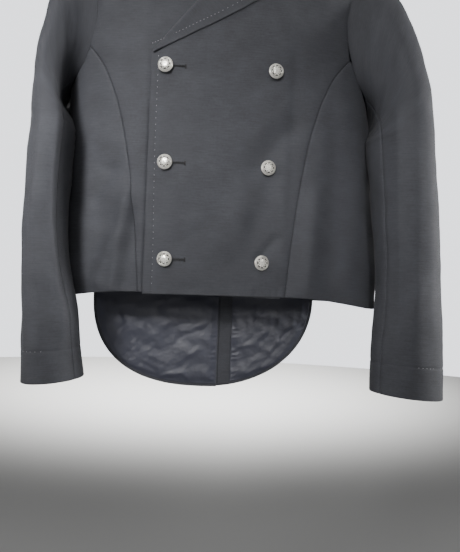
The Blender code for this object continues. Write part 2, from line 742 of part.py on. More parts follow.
def sleeve_ring(wearer_side, along):
    """A function from an angle, 0 at the sleeve's outer side by way of its front, to a point.
    Along is 0 at the armhole, 1 where the sleeve hangs free, and 2 at the cuff."""
    table = SLEEVES[wearer_side]
    columns = {key: profile(table, key) for key in SleeveSection._fields[1:]}
    first, last = table[0].height, table[-1].height

    def level(z):
        middle = Vector((wearer_side * columns["middle"](z), -columns["forward"](z), z))
        return middle, columns["half_width"](z), columns["half_depth"](z)

    if along >= 1:
        z = first + (last - first) * (along - 1)
        middle, half_width, half_depth = level(z)
        tilt = CUFF_TILT * ease(along, 1.6, 2.0)
        outside = Vector((wearer_side * half_width, 0, -tilt))
        return lambda angle: (middle + outside * math.cos(angle)
                              - Vector((0, half_depth, 0)) * math.sin(angle))

    middle, half_width, half_depth = level(first)
    outer_end = middle + Vector((wearer_side * half_width, 0, 0))
    inner_end = middle - Vector((wearer_side * half_width, 0, 0))
    shoulder = oval_point(wearer_side * math.pi / 2, SHOULDER_END)
    armpit = oval_point(wearer_side * math.pi / 2, ARMPIT)

    def bent(start, bend, end, k):
        first, second = (Vector((wearer_side * x, -forward, z)) for x, forward, z in bend)
        out = start * (1 - k) ** 3 + first * 3 * k * (1 - k) ** 2
        return out + second * 3 * k * k * (1 - k) + end * k**3

    def planar(angle, k):
        top = bent(shoulder, OUTER_BEND[wearer_side], outer_end, k)
        under = bent(armpit, UNDER_BEND[wearer_side], inner_end, k)
        depth = ARMHOLE_HALF_DEPTH + (half_depth - ARMHOLE_HALF_DEPTH) * ease(k, 0, 1)
        centre, arm = (top + under) / 2, (top - under) / 2
        return centre + arm * math.cos(angle) - Vector((0, depth, 0)) * math.sin(angle)

    def at(angle):
        turn, z = armhole_at(angle)
        centre_turn, centre_z = math.pi / 2, (SHOULDER_END + ARMPIT) / 2
        turn = centre_turn + (turn - centre_turn) * ARMHOLE_FLARE
        z = centre_z + (z - centre_z) * ARMHOLE_FLARE
        seat = oval_point(wearer_side * turn, z)
        share = along * (1 - along) ** 2 / FULLEST_SHARE
        full = UNDERARM_FULLNESS[wearer_side] * share * (1 - math.cos(angle)) / 2
        moved = (seat - planar(angle, 0)) * (1 - along) ** 2
        return planar(angle, along) + moved + Vector((wearer_side * full, 0, 0))

    return at


def seat_clearance(angle):
    """The sleeve's seat stands a little higher over the end of the shoulder."""
    return SEAT_CLEARANCE + CAP_RISE * max(0.0, math.cos(angle)) ** 4


def sleeve_point(wearer_side, along, angle):
    """A point of the sleeve's outer skin, kept clear of the body."""
    seated = seat_clearance(angle) + SEAT_RISE
    clearance = seated if along < ON_THE_BODY else SLEEVE_CLEARANCE
    return clear_of_body(sleeve_ring(wearer_side, along)(angle), clearance)


def sleeve_inside(wearer_side, along, angle):
    """The point of the sleeve's inner skin, one wall straight in from the outer one."""
    near = NORMAL_STEP
    across = (sleeve_point(wearer_side, along, angle + near)
              - sleeve_point(wearer_side, along, angle - near))
    down = (sleeve_point(wearer_side, min(2.0, along + near), angle)
            - sleeve_point(wearer_side, max(0.0, along - near), angle))
    outward = across.cross(down).normalized() * wearer_side
    point = sleeve_point(wearer_side, along, angle) - outward * CLOTH_WALL
    return clear_of_body(point, seat_clearance(angle)) if along < ON_THE_BODY else point


def make_sleeve_part(wearer_side, name, first_angle, last_angle, sides):
    """The part of a sleeve between two of its long seams."""
    stations = list(np.linspace(0, 1, 8)) + list(np.linspace(1, 2, 8)[1:])
    angles = np.linspace(first_angle, last_angle, sides + 1)
    skins = [
        [[skin(wearer_side, along, angle) for angle in angles] for along in stations]
        for skin in (sleeve_point, sleeve_inside)
    ]
    return add_wall(name, [skins], CLOTH)


def make_sleeve(wearer_side, side_name):
    half_gap = SLEEVE_SEAM_GAP / 2 / SLEEVE_RADIUS
    upper = (SLEEVE_BACK_SEAM + half_gap, SLEEVE_FRONT_SEAM - half_gap)
    make_sleeve_part(wearer_side, f"{side_name}_top_sleeve", *upper, 16)
    under = (SLEEVE_FRONT_SEAM + half_gap, 2 * math.pi + SLEEVE_BACK_SEAM - half_gap)
    make_sleeve_part(wearer_side, f"{side_name}_under_sleeve", *under, 5)


def button_frame(x, z, tilt):
    """A button's seat on the left front, with its axis along the cloth's outward direction."""
    turn = turn_at(x, z)
    lean = BUTTON_PROFILE[0].radius * math.sin(math.radians(abs(tilt)))
    lift = front_lift(1)(oval_point(turn, z), z) + lean
    seat = body_point(turn, z, lift)
    outward = (body_point(turn, z, lift + 0.01) - seat).normalized()
    across = Vector((0, 0, 1)).cross(outward).normalized()
    up = outward.cross(across)
    turned_out = (outward + across * math.sin(math.radians(tilt))).normalized()
    across = up.cross(turned_out).normalized()
    basis = Matrix((across, up, turned_out)).transposed().to_4x4()
    return Matrix.Translation(seat) @ basis


def make_button(name, x, z, tilt):
    mesh = bmesh.new()
    rings = []
    for ring in BUTTON_PROFILE:
        angles = np.linspace(0, 2 * math.pi, BUTTON_SIDES, endpoint=False)
        rings.append([mesh.verts.new((ring.radius * math.cos(a), ring.radius * math.sin(a), ring.height))
                      for a in angles])
    for low, high in zip(rings, rings[1:]):
        for i in range(BUTTON_SIDES):
            j = (i + 1) % BUTTON_SIDES
            mesh.faces.new((low[i], low[j], high[j], high[i]))
    mesh.faces.new(rings[0][::-1])
    crown = mesh.verts.new((0, 0, BUTTON_CROWN))
    for i in range(BUTTON_SIDES):
        mesh.faces.new((rings[-1][i], rings[-1][(i + 1) % BUTTON_SIDES], crown))
    button = add_object(name, mesh, METAL)
    button.data.set_sharp_from_angle(angle=math.radians(40))
    button.matrix_world = button_frame(x, z, tilt)
    return button


def make_buttons():
    for row, (z, x) in enumerate(BUTTON_ROWS):
        for wearer_side, side_name in ((1, "left"), (-1, "right")):
            tilt = BUTTON_TILT[(wearer_side, row)]
            make_button(f"button_{side_name}_{row + 1}", wearer_side * x, z, tilt)


def main():
    for thing in list(bpy.data.objects):
        bpy.data.objects.remove(thing)
    for wearer_side, side_name in ((1, "left"), (-1, "right")):
        make_front(wearer_side, f"{side_name}_front")
        make_side_front(wearer_side, f"{side_name}_side_front")
        make_back(wearer_side, f"{side_name}_back")
        make_sleeve(wearer_side, side_name)
    make_lapel(1, "left_lapel", 0.0, 0.0, CLOTH_WALL + LAYER_GAP)
    make_lapel(-1, "right_lapel", *RIGHT_LAPEL_SHOWS, CLOTH_WALL + LAYER_GAP)
    make_collar("collar")
    make_tail_insides()
    make_buttons()


main()
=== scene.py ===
"""The looks of a short double-breasted jacket with a rounded tail.

Metres, +Z up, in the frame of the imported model. The front faces -Y and the wearer's left is +X.
Every panel is a fine shell on the same body form as its solid. A place on the body is a turn
around it, from 0 at the centre front to plus or minus pi at the centre back, and a height.
"""

import math
from collections import namedtuple

import bpy
import numpy as np
from mathutils import Euler, Matrix, Vector


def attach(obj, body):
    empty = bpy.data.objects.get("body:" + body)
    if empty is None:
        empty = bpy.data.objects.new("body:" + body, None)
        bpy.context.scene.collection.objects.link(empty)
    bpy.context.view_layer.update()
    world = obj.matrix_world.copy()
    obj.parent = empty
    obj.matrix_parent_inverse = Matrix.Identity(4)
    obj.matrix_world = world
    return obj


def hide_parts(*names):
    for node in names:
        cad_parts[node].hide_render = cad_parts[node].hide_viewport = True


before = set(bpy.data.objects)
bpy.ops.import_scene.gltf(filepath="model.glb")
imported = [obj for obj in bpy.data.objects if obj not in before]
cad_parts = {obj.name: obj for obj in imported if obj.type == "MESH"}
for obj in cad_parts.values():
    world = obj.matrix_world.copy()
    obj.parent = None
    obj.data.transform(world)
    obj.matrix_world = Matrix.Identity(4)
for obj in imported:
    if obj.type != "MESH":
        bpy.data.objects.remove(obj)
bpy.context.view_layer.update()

bl_info = {
    "name": "Double-breasted Jacket Looks",
    "version": (1, 0, 0),
    "blender": (4, 5, 0),
    "location": "View3D > Sidebar > Jacket",
    "description": "Makes the cloth, lining, buttons and stitches of a jacket over its solids",
    "category": "Object",
}

BODY_NAME = "root"


def rows_of(kind, rows):
    """A table of rows with named columns."""
    return tuple(kind(*row) for row in rows)


LEFT, RIGHT = 1, -1
SIDES = {LEFT: "left", RIGHT: "right"}

CLOTH_WALL = 0.0016
LINING_WALL = 0.0010
SHELL_ENDS = {"cloth": "_cloth", "lining": "_satin"}
SEAM_GAP = 0.0001
LAYER_GAP = 0.0007

# Body ovals, from the foot of the tail up to the neck
BodySection = namedtuple("BodySection", "height half_width front_depth back_depth shift")
BODY = rows_of(BodySection, (
    (-0.68, 0.228, 0.072, 0.058, 0.006),
    (-0.53, 0.232, 0.076, 0.06, 0.006),
    (-0.44, 0.222, 0.078, 0.059, 0.005),
    (-0.35, 0.213, 0.08, 0.061, 0.004),
    (-0.25, 0.211, 0.08, 0.065, 0.003),
    (-0.15, 0.213, 0.077, 0.068, 0.002),
    (-0.09, 0.214, 0.069, 0.065, 0.001),
    (-0.06, 0.211, 0.062, 0.061, 0.0),
    (-0.045, 0.205, 0.058, 0.058, 0.0),
    (-0.03, 0.165, 0.054, 0.055, 0.0),
    (-0.015, 0.12, 0.05, 0.052, 0.0),
    (0.0, 0.076, 0.046, 0.049, 0.0),
))
OVAL_SQUARENESS = 2.5
BODY_NORMAL_STEP = 0.004
# The height at which the cloth's flat widths are measured round the body
CUT_HEIGHT = -0.35

# Creases as runs from a head to a foot; out is below zero for a trough. The first eleven are in
# the solids too, the rest are the finer ones of the cloth.
Crease = namedtuple("Crease", "side x_head z_head x_foot z_foot half_breadth out")
FRONT, BACK = -1, 1
CREASES = rows_of(Crease, (
    (FRONT, -0.128, -0.4, -0.15, -0.52, 0.016, 0.003),
    (FRONT, -0.146, -0.44, -0.168, -0.52, 0.014, -0.0026),
    (FRONT, -0.152, -0.365, -0.172, -0.415, 0.018, -0.0028),
    (FRONT, 0.15, -0.38, 0.138, -0.52, 0.018, 0.0028),
    (FRONT, 0.176, -0.33, 0.168, -0.52, 0.016, -0.0026),
    (FRONT, 0.085, -0.3, 0.04, -0.36, 0.018, -0.0022),
    (FRONT, 0.078, -0.448, 0.058, -0.47, 0.014, -0.002),
    (BACK, -0.12, -0.25, -0.095, -0.5, 0.022, -0.003),
    (BACK, 0.125, -0.26, 0.102, -0.51, 0.024, -0.003),
    (BACK, -0.06, -0.12, -0.115, -0.21, 0.02, 0.0026),
    (BACK, 0.064, -0.125, 0.118, -0.215, 0.02, 0.0026),
))
FINE_CREASES = rows_of(Crease, (
    # the wearer's right front and side front
    (FRONT, -0.116, -0.398, -0.131, -0.518, 0.0068, 0.0062),
    (FRONT, -0.134, -0.452, -0.151, -0.512, 0.006, 0.0046),
    (FRONT, -0.107, -0.42, -0.117, -0.515, 0.006, -0.0024),
    (FRONT, -0.142, -0.366, -0.158, -0.402, 0.009, -0.0038),
    (FRONT, -0.171, -0.47, -0.18, -0.515, 0.007, 0.001),
    (FRONT, -0.104, -0.33, -0.11, -0.42, 0.008, 0.0008),
    # the wearer's left front
    (FRONT, 0.098, -0.3, 0.052, -0.35, 0.011, -0.0044),
    (FRONT, 0.072, -0.366, 0.058, -0.436, 0.014, -0.0046),
    (FRONT, 0.082, -0.446, 0.062, -0.47, 0.0048, -0.0028),
    (FRONT, 0.03, -0.42, -0.018, -0.47, 0.012, 0.0024),
    (FRONT, -0.052, -0.372, -0.02, -0.43, 0.013, 0.002),
    (FRONT, -0.03, -0.3, 0.012, -0.345, 0.014, -0.0022),
    (FRONT, -0.05, -0.455, -0.01, -0.436, 0.006, -0.0006),
    (FRONT, 0.03, -0.48, 0.052, -0.515, 0.009, -0.0008),
    (FRONT, 0.02, -0.25, 0.06, -0.29, 0.012, 0.0007),
    # the wearer's left side front
    (FRONT, 0.132, -0.385, 0.124, -0.512, 0.009, 0.0044),
    (FRONT, 0.16, -0.3, 0.156, -0.5, 0.011, -0.0022),
    (FRONT, 0.186, -0.43, 0.182, -0.515, 0.009, 0.001),
    (FRONT, 0.15, -0.262, 0.128, -0.33, 0.009, -0.001),
    # the back
    (BACK, -0.15, -0.262, -0.116, -0.33, 0.01, 0.0011),
    (BACK, 0.152, -0.268, 0.122, -0.342, 0.011, 0.0012),
    (BACK, -0.176, -0.3, -0.166, -0.5, 0.012, -0.0012),
    (BACK, 0.172, -0.31, 0.168, -0.505, 0.011, -0.0013),
    (BACK, -0.14, -0.4, -0.132, -0.52, 0.01, 0.001),
    (BACK, 0.138, -0.38, 0.142, -0.516, 0.012, 0.0011),
    (BACK, -0.04, -0.44, -0.03, -0.56, 0.012, 0.0007),
    (BACK, 0.052, -0.45, 0.06, -0.58, 0.014, 0.0008),
    (BACK, -0.05, -0.052, -0.1, -0.075, 0.009, 0.0008),
    (BACK, 0.056, -0.05, 0.104, -0.078, 0.009, 0.0008),
))

# The cloth stands out softly behind the wearer's left sleeve
SIDE_FULLNESS = 0.0125
SIDE_FULLNESS_AT = 0.006
SIDE_FULLNESS_BREADTH = 0.015
SIDE_FULLNESS_TOPS = (-0.240, -0.290)

# Slow waves over all the cloth, which sway a little
WAVE_SWAY = 0.006
WAVE_SWAY_LENGTH = 0.14
Wave = namedtuple("Wave", "length angle height phase")
WAVES = rows_of(Wave, (
    (0.061, 1.2, 0.0003, 0.4),
    (0.044, 0.35, 0.0002, 2.1),
    (0.031, 2.3, 0.00014, 4.0),
    (0.019, 1.75, 0.00007, 1.1),
))

# Heights of the main marks
SHOULDER_END = -0.045
ARMPIT = -0.250
BREAK_HEIGHT = -0.205
VENT_TOP = -0.430
HEM_MIDDLE = -0.5255
HEM_SIDE = -0.533
HEM_BACK = -0.530
TAIL_FOOT = -0.668

ARMHOLE_TURN = math.radians(40)
ARMHOLE_MIDDLE = (SHOULDER_END + ARMPIT) / 2
ARMHOLE_HALF = (SHOULDER_END - ARMPIT) / 2
OVERLAP_EDGE = 0.091
ROLL_TOP_X = 0.0755
FRONT_LIFT = 0.0013
LIFT_SIDES = (0.101, 0.089)
LIFT_TOPS = (-0.025, -0.085)

SeamPoint = namedtuple("SeamPoint", "height x")
PRINCESS_FOOT = -0.523
PRINCESS_TOP = -0.195
PRINCESS_TOP_ANGLE = math.acos((PRINCESS_TOP - ARMHOLE_MIDDLE) / ARMHOLE_HALF)
PRINCESS = rows_of(SeamPoint, (
    (PRINCESS_FOOT, 0.0978),
    (-0.455, 0.1035),
    (-0.376, 0.1125),
    (-0.337, 0.119),
    (-0.3, 0.127),
    (-0.255, 0.141),
    (-0.22, 0.158),
    (PRINCESS_TOP, 0.178),
))

# The tail hangs a little to one side of the vent
Tail = namedtuple("Tail", "reach squareness")
TAIL_MIDDLE = -0.0065
TAILS = {LEFT: Tail(0.1665, 2.1), RIGHT: Tail(0.1665, 2.45)}
BACK_SEAM_X = 0.011
VENT_LAP = 0.006
# The half lap of the back panels' rounded edges along their seam
SEAM_LAP = 0.0003
VENT_TUCK = 0.0022
TUCK_REACH = (0.110, 0.022)
TUCK_TOPS = (VENT_TOP + 0.045, VENT_TOP + 0.012)
# The tail's share of a back panel's columns
TAIL_SHARE = 33 / 53
TAIL_CORNER = math.radians(50)
LINING_TOP = -0.490
LINING_INSET = 0.0045
LINING_PAST_VENT = 0.0015
FACING_INNER_X = 0.0180
FACING_OUTER_X = 0.0370

# Lapels: the gorge is where a lapel meets the collar
GORGE_INNER = (0.0475, -0.0350)
NOTCH = (0.0950, -0.0660)
PEAK = (0.1480, -0.0520)
LAPEL_BELLY = 0.009
LAPEL_FOOT = (-0.0880, -0.2090)
RIGHT_LAPEL_SHOWS = (0.664, 0.516)
LAPELS = ((LEFT, 0.0, 0.0), (RIGHT, *RIGHT_LAPEL_SHOWS))

COLLAR_LIFT = 0.0030
COLLAR_BEND = 0.0026
COLLAR_LEAN = 0.002
# How far the collar's foot goes down inside the neck edge, and how far in it stands there
COLLAR_TUCK = 0.0062
COLLAR_TUCK_IN = 0.0022
CollarStation = namedtuple(
    "CollarStation", "along seam_turn seam_height seam_out stand edge_turn edge_height"
)

# Sleeves, below the armhole, for the wearer's left and right
SleeveSection = namedtuple("SleeveSection", "height middle forward half_width half_depth")
SLEEVES = {
    LEFT: rows_of(SleeveSection, (
        (-0.31, 0.2545, 0.044, 0.043, 0.07),
        (-0.36, 0.2585, 0.053, 0.0431, 0.06),
        (-0.41, 0.2625, 0.058, 0.0432, 0.053),
        (-0.51, 0.2685, 0.062, 0.0435, 0.047),
        (-0.55, 0.2698, 0.062, 0.0458, 0.045),
        (-0.585, 0.2705, 0.061, 0.0485, 0.042),
        (-0.65, 0.2725, 0.06, 0.05, 0.04),
    )),
    RIGHT: rows_of(SleeveSection, (
        (-0.31, 0.2145, 0.05, 0.0265, 0.085),
        (-0.36, 0.215, 0.069, 0.0265, 0.071),
        (-0.41, 0.2155, 0.084, 0.0265, 0.057),
        (-0.46, 0.214, 0.09, 0.0285, 0.051),
        (-0.51, 0.209, 0.092, 0.0315, 0.049),
        (-0.55, 0.204, 0.093, 0.0345, 0.048),
        (-0.59, 0.202, 0.094, 0.0355, 0.047),
        (-0.636, 0.1975, 0.095, 0.0385, 0.046),
    )),
}
CUFF_TILT = 0.004
# How much squarer each sleeve is at its inner front, and how far it is drawn in there, between
# two pairs of angles in degrees
INNER_CORNER = {LEFT: 0.0, RIGHT: 0.48}
INNER_DRAW = {LEFT: 0.0, RIGHT: 0.25}
INNER_DRAW_FRONT = (118, 150)
INNER_DRAW_BACK = (232, 165)
INNER_CORNER_ALONG = ((0.15, 0.6), (2.0, 1.75))
INNER_DRAW_ALONG = ((0.35, 0.9), (1.85, 1.45))
# How the sleeve's outer and under lines leave the armhole and come into the free sleeve
Bend = namedtuple("Bend", "leaving arriving")
OUTER_BEND = {
    LEFT: Bend((0.257, 0.004, -0.068), (0.289, 0.040, -0.165)),
    RIGHT: Bend((0.228, 0.006, -0.070), (0.2395, 0.058, -0.170)),
}
UNDER_BEND = {
    LEFT: Bend((0.216, 0.000, -0.273), (0.2125, 0.038, -0.290)),
    RIGHT: Bend((0.215, 0.000, -0.273), (0.1950, 0.052, -0.290)),
}
# The cloth's fullness under the arm, which is most a third of the way to the free sleeve
UNDERARM_FULLNESS = {LEFT: 0.006, RIGHT: 0.007}
FULLEST_SHARE = 4 / 27
SLEEVE_FRONT_SEAM = math.radians(150)
SLEEVE_BACK_SEAM = math.radians(-125)
SLEEVE_RADIUS = 0.045
ARMHOLE_HALF_DEPTH = 0.056
ARMHOLE_FLARE = 1.03
SEAT_CLEARANCE = 0.0009
CAP_RISE = 0.0030
SLEEVE_CLEARANCE = 0.0029
ON_THE_BODY = 0.1
NORMAL_STEP = 0.02
# The length of cloth that one step of along stands for, and where the cuff's hem is sewn
SLEEVE_REACH = 0.30
CUFF_HEM = {LEFT: 0.043, RIGHT: 0.039}
CUFF_HEM_DIP = 0.0005
CUFF_HEM_BREADTH = 0.0011
SLEEVE_CREASE_FADE = 0.022

# Sleeve creases: the angle is 0 at the outer side by way of the front, and along is 0 at the
# armhole, 1 where the sleeve hangs free, and 2 at the cuff
SleeveCrease = namedtuple(
    "SleeveCrease", "angle_head along_head angle_foot along_foot half_breadth out"
)
SLEEVE_CREASES = {
    LEFT: rows_of(SleeveCrease, (
        (118, 0.75, 124, 1.72, 0.0045, 0.0016),
        (102, 0.85, 106, 1.6, 0.007, -0.0014),
        (78, 0.9, 74, 1.45, 0.01, -0.0024),
        (58, 0.8, 60, 1.38, 0.012, 0.002),
        (86, 1.5, 66, 1.86, 0.009, -0.0014),
        (40, 1.05, 52, 1.62, 0.011, -0.0012),
        (96, 1.62, 128, 1.8, 0.006, 0.0009),
        (128, 1.7, 104, 1.84, 0.005, -0.001),
        (66, 0.3, 84, 0.72, 0.011, 0.0017),
        (94, 0.22, 112, 0.62, 0.011, -0.0018),
        (-60, 0.45, -72, 1.35, 0.013, 0.002),
        (-92, 0.55, -88, 1.5, 0.012, -0.0022),
        (-30, 1.1, -44, 1.8, 0.012, -0.0016),
        (-112, 0.35, -120, 0.9, 0.01, 0.0014),
        (188, 0.8, 196, 1.3, 0.009, 0.0014),
    )),
    RIGHT: rows_of(SleeveCrease, (
        (52, 0.8, 46, 1.7, 0.006, 0.0015),
        (70, 0.9, 62, 1.5, 0.008, -0.0014),
        (88, 1.2, 82, 1.8, 0.0085, 0.0018),
        (104, 1.05, 110, 1.7, 0.008, -0.0016),
        (34, 1.25, 28, 1.85, 0.007, -0.0012),
        (96, 0.3, 86, 0.8, 0.012, -0.0016),
        (70, 0.24, 60, 0.7, 0.011, 0.0014),
        (120, 1.62, 92, 1.8, 0.0055, 0.0009),
        (-58, 0.5, -66, 1.4, 0.013, 0.0018),
        (-88, 0.6, -92, 1.6, 0.012, -0.002),
        (-28, 1.0, -36, 1.75, 0.011, -0.0014),
        (-110, 0.4, -116, 0.95, 0.01, 0.0014),
        (186, 0.85, 178, 1.4, 0.009, 0.0014),
    )),
}

# Pull marks of the hem's hidden stitches, as x on the wearer's left front and height out
HEM_PULLS = (
    (-0.0655, 0.0003), (-0.0487, 0.0007), (-0.0383, 0.0005), (-0.0293, 0.0007), (-0.0176, 0.0005),
    (-0.0033, 0.0007), (0.0057, 0.0006), (0.019, 0.0003), (0.033, 0.0004), (0.0465, 0.0003),
    (0.0589, 0.0007), (0.07, 0.0004), (0.0784, 0.0006), (0.0887, 0.0005),
)
HEM_PULL_BREADTH = 0.0030
HEM_PULL_STRENGTH = 2.8
HEM_PULL_MIDDLE = 0.009
HEM_PULL_HEIGHT = 0.007


# Satin crumples on the tail's lining: x, height, half length, half breadth, angle and height
Crumple = namedtuple("Crumple", "x z half_length half_breadth angle out")
CRUMPLES = rows_of(Crumple, (
    # the wearer's right half
    (-0.136, -0.556, 0.02, 0.005, -60, 0.0014),
    (-0.126, -0.566, 0.014, 0.006, -52, -0.0016),
    (-0.094, -0.586, 0.03, 0.006, -38, 0.0014),
    (-0.108, -0.598, 0.026, 0.006, -42, -0.0012),
    (-0.06, -0.575, 0.024, 0.006, 22, 0.0013),
    (-0.03, -0.588, 0.02, 0.005, 28, -0.0014),
    (-0.016, -0.578, 0.016, 0.0045, 30, 0.0013),
    (-0.022, -0.618, 0.018, 0.006, 34, 0.0022),
    (-0.034, -0.632, 0.014, 0.0055, 50, -0.0022),
    (-0.048, -0.604, 0.022, 0.007, 10, -0.0013),
    (-0.074, -0.628, 0.02, 0.005, -24, 0.0013),
    (-0.088, -0.64, 0.018, 0.004, -30, -0.0012),
    (-0.05, -0.65, 0.02, 0.004, 12, 0.002),
    (-0.03, -0.654, 0.012, 0.0035, -46, 0.0018),
    (-0.056, -0.659, 0.014, 0.003, 20, -0.0015),
    (-0.02, -0.661, 0.012, 0.0028, -10, -0.0012),
    (-0.112, -0.618, 0.014, 0.004, -46, 0.0012),
    (-0.07, -0.548, 0.03, 0.007, 6, -0.0012),
    # the wearer's left half
    (0.06, -0.562, 0.016, 0.006, 16, -0.0012),
    (0.08, -0.59, 0.018, 0.006, 40, 0.0016),
    (0.098, -0.578, 0.016, 0.006, 66, -0.0018),
    (0.112, -0.562, 0.016, 0.0045, 58, 0.0016),
    (0.126, -0.572, 0.01, 0.004, 40, 0.0022),
    (0.12, -0.584, 0.012, 0.004, 52, -0.0016),
    (0.104, -0.602, 0.014, 0.004, 48, 0.0013),
    (0.056, -0.604, 0.012, 0.0035, 14, 0.0018),
    (0.06, -0.624, 0.02, 0.006, 24, -0.0016),
    (0.074, -0.64, 0.018, 0.004, 34, 0.0014),
    (0.088, -0.63, 0.014, 0.004, 44, -0.0012),
    (0.06, -0.655, 0.012, 0.003, 24, 0.0013),
    (0.086, -0.556, 0.018, 0.0055, 8, 0.0011),
))
CRUMPLE_SHARE = 0.62
CRUMPLE_BREADTH = 0.625
CRUMPLE_BOW = 2.2
CRUMPLE_WAVES = 2.6
LINING_STEP = 0.0019
LINING_PUCKER_PITCH = 0.0082
HEM_GATHER_SHARE = 0.3
LINING_PUCKER_REACH = 0.0075
LINING_PUCKER_OUT = 0.0008
# The puckers drift and change along the edge
PUCKER_DRIFT = 0.0019
PUCKER_DRIFT_LENGTH = 0.037
PUCKER_MEAN, PUCKER_CHANGE, PUCKER_CHANGE_RATE = 0.7, 0.5, 190
FELLED_EDGE = 0.0025
FLAT_EDGE = 0.004
SLACK_REACH = 0.012

# Grid spacing, and the closer rows along an edge
CLOTH_STEP = 0.0030
FINE_STEP = 0.0010
# About how wide and high each panel is, which sets the spacing of its grid
FRONT_SPAN = (0.20, 0.50)
SIDE_FRONT_SPAN = (0.12, 0.33)
TAIL_SPAN = (0.165, 0.137)
BESIDE_TAIL = 0.10
NECK_RISE = 0.15
ARMHOLE_ROWS = 90
LINING_SPAN = (0.15, 0.133)
LAPEL_SPAN = (0.085, 0.24)
COLLAR_SPAN = (0.24, 0.04)
EDGE_ROWS = (0.00015, 0.00045, 0.0009, 0.0014, 0.0020, 0.0030)
EDGE_RADIUS = 0.0013
SEAM_DIP = 0.0006
SEAM_BREADTH = 0.0017
TURNING_REACH = 0.028
LINING_SLACK = 0.0018
ROLL_REACH = 0.004
ROLL_FULLNESS = 0.0012

BUTTON_ROWS = ((-0.226, 0.0720), (-0.3525, 0.0677), (-0.4785, 0.0631))
BUTTON_TILT = {LEFT: (3, 5, 11), RIGHT: (-3, -4, -4)}

ButtonRing = namedtuple("ButtonRing", "radius height")
BUTTON_FACE = rows_of(ButtonRing, (
    (0.0022, 0.0002),
    (0.0022, 0.0032),
    (0.0088, 0.0036),
    (0.0098, 0.004),
    (0.01, 0.0046),
    (0.0099, 0.0051),
    (0.0096, 0.0056),
    (0.0088, 0.0063),
    (0.008, 0.0068),
    (0.0064, 0.0075),
    (0.0048, 0.008),
    (0.0025, 0.0083),
    (0.0002, 0.0084),
))
BUTTON_RADIUS = 0.0100
FACE_STARTS = 4
FACE_RINGS = 76
BUTTON_SIDES = 144
# The rosette and the rings round it, in shares of the button's radius
PETAL_START = (0.11, 0.17)
PETAL_LENGTH, PETAL_LOBE, PETAL_ROUNDNESS = 0.30, 0.26, 0.7
VEIN_BREADTH, VEIN_DEPTH = 0.025, 0.75
EYE_EDGE = (0.12, 0.07)
TIP_PLACE, TIP_BREADTH, TIP_SIDES = 0.60, 0.045, (0.72, 0.95)
RING_PLACE, RING_BREADTH = 0.76, 0.022
ROPE_PLACE, ROPE_BREADTH, ROPE_TWISTS, ROPE_SLANT = 0.87, 0.034, 34, 22
ROPE_MEAN, ROPE_CHANGE = 0.62, 0.38
HOLLOW_SHARPNESS, HOLLOW_EDGE = 1.25, (0.95, 0.90)

# The finer columns of each front, and how far the overlapping edge presses into the cloth below
FRONT_FINE = {LEFT: (0.0075, 0.0155), RIGHT: (0.1540, 0.1930)}
OVERLAP_PRESS = 0.0016
OVERLAP_PRESS_BREADTH = 0.0017

# Hand stitches along the edges, and the few that show on the cuffs' hems, by their angles
PICK_INSET = 0.0118
PICK_DRIFT = 0.0030
PICK_DRIFT_HEIGHTS = (-0.50, -0.31)
PICK_DIP = 0.0004
PICK_GROOVE_BREADTH = 0.0012
PICK_OUT = 0.0002
PICK_RADIUS = 0.00026
PICK_ARCH = 0.00030
TACK_LENGTH = 0.0013
# Rings along a thread, by the share of its length and of its full girth
THREAD_RINGS = ((0, 0.35), (0.07, 0.8), (0.2, 1), (0.5, 1), (0.8, 1), (0.93, 0.8), (1, 0.35))
THREAD_SIDES = 8
CUFF_TACKS = {LEFT: (60, 66, 73, 80, 87), RIGHT: (38, 47, 56, 66, 77, 88)}

# Buttonholes: from beside the button's middle to the bar
HOLE_START = 0.0075
HOLE_END = 0.0250
HOLE_STITCH_PITCH = 0.00072
HOLE_LIP = 0.00045
HOLE_BREADTH = 0.0015
HOLE_OUT = 0.00012
HOLE_SLANT = 0.00008
HOLE_CORD_PITCH = 0.0021
HOLE_CORD_LENGTH = 0.0023
HOLE_BAR = 0.0066
HOLE_BAR_THREADS = 4
HOLE_THREAD = 0.00034

# Stage
FLOOR_HEIGHT = -1.45
FLOOR_RADIUS = 6.0
FLOOR_SIDES = 96
CAMERA_PLACE = (-0.0257, -0.8779, -0.4974)
CAMERA_PAN = -3.5
CAMERA_ROLL = 2.4
SENSOR_WIDTH = 36
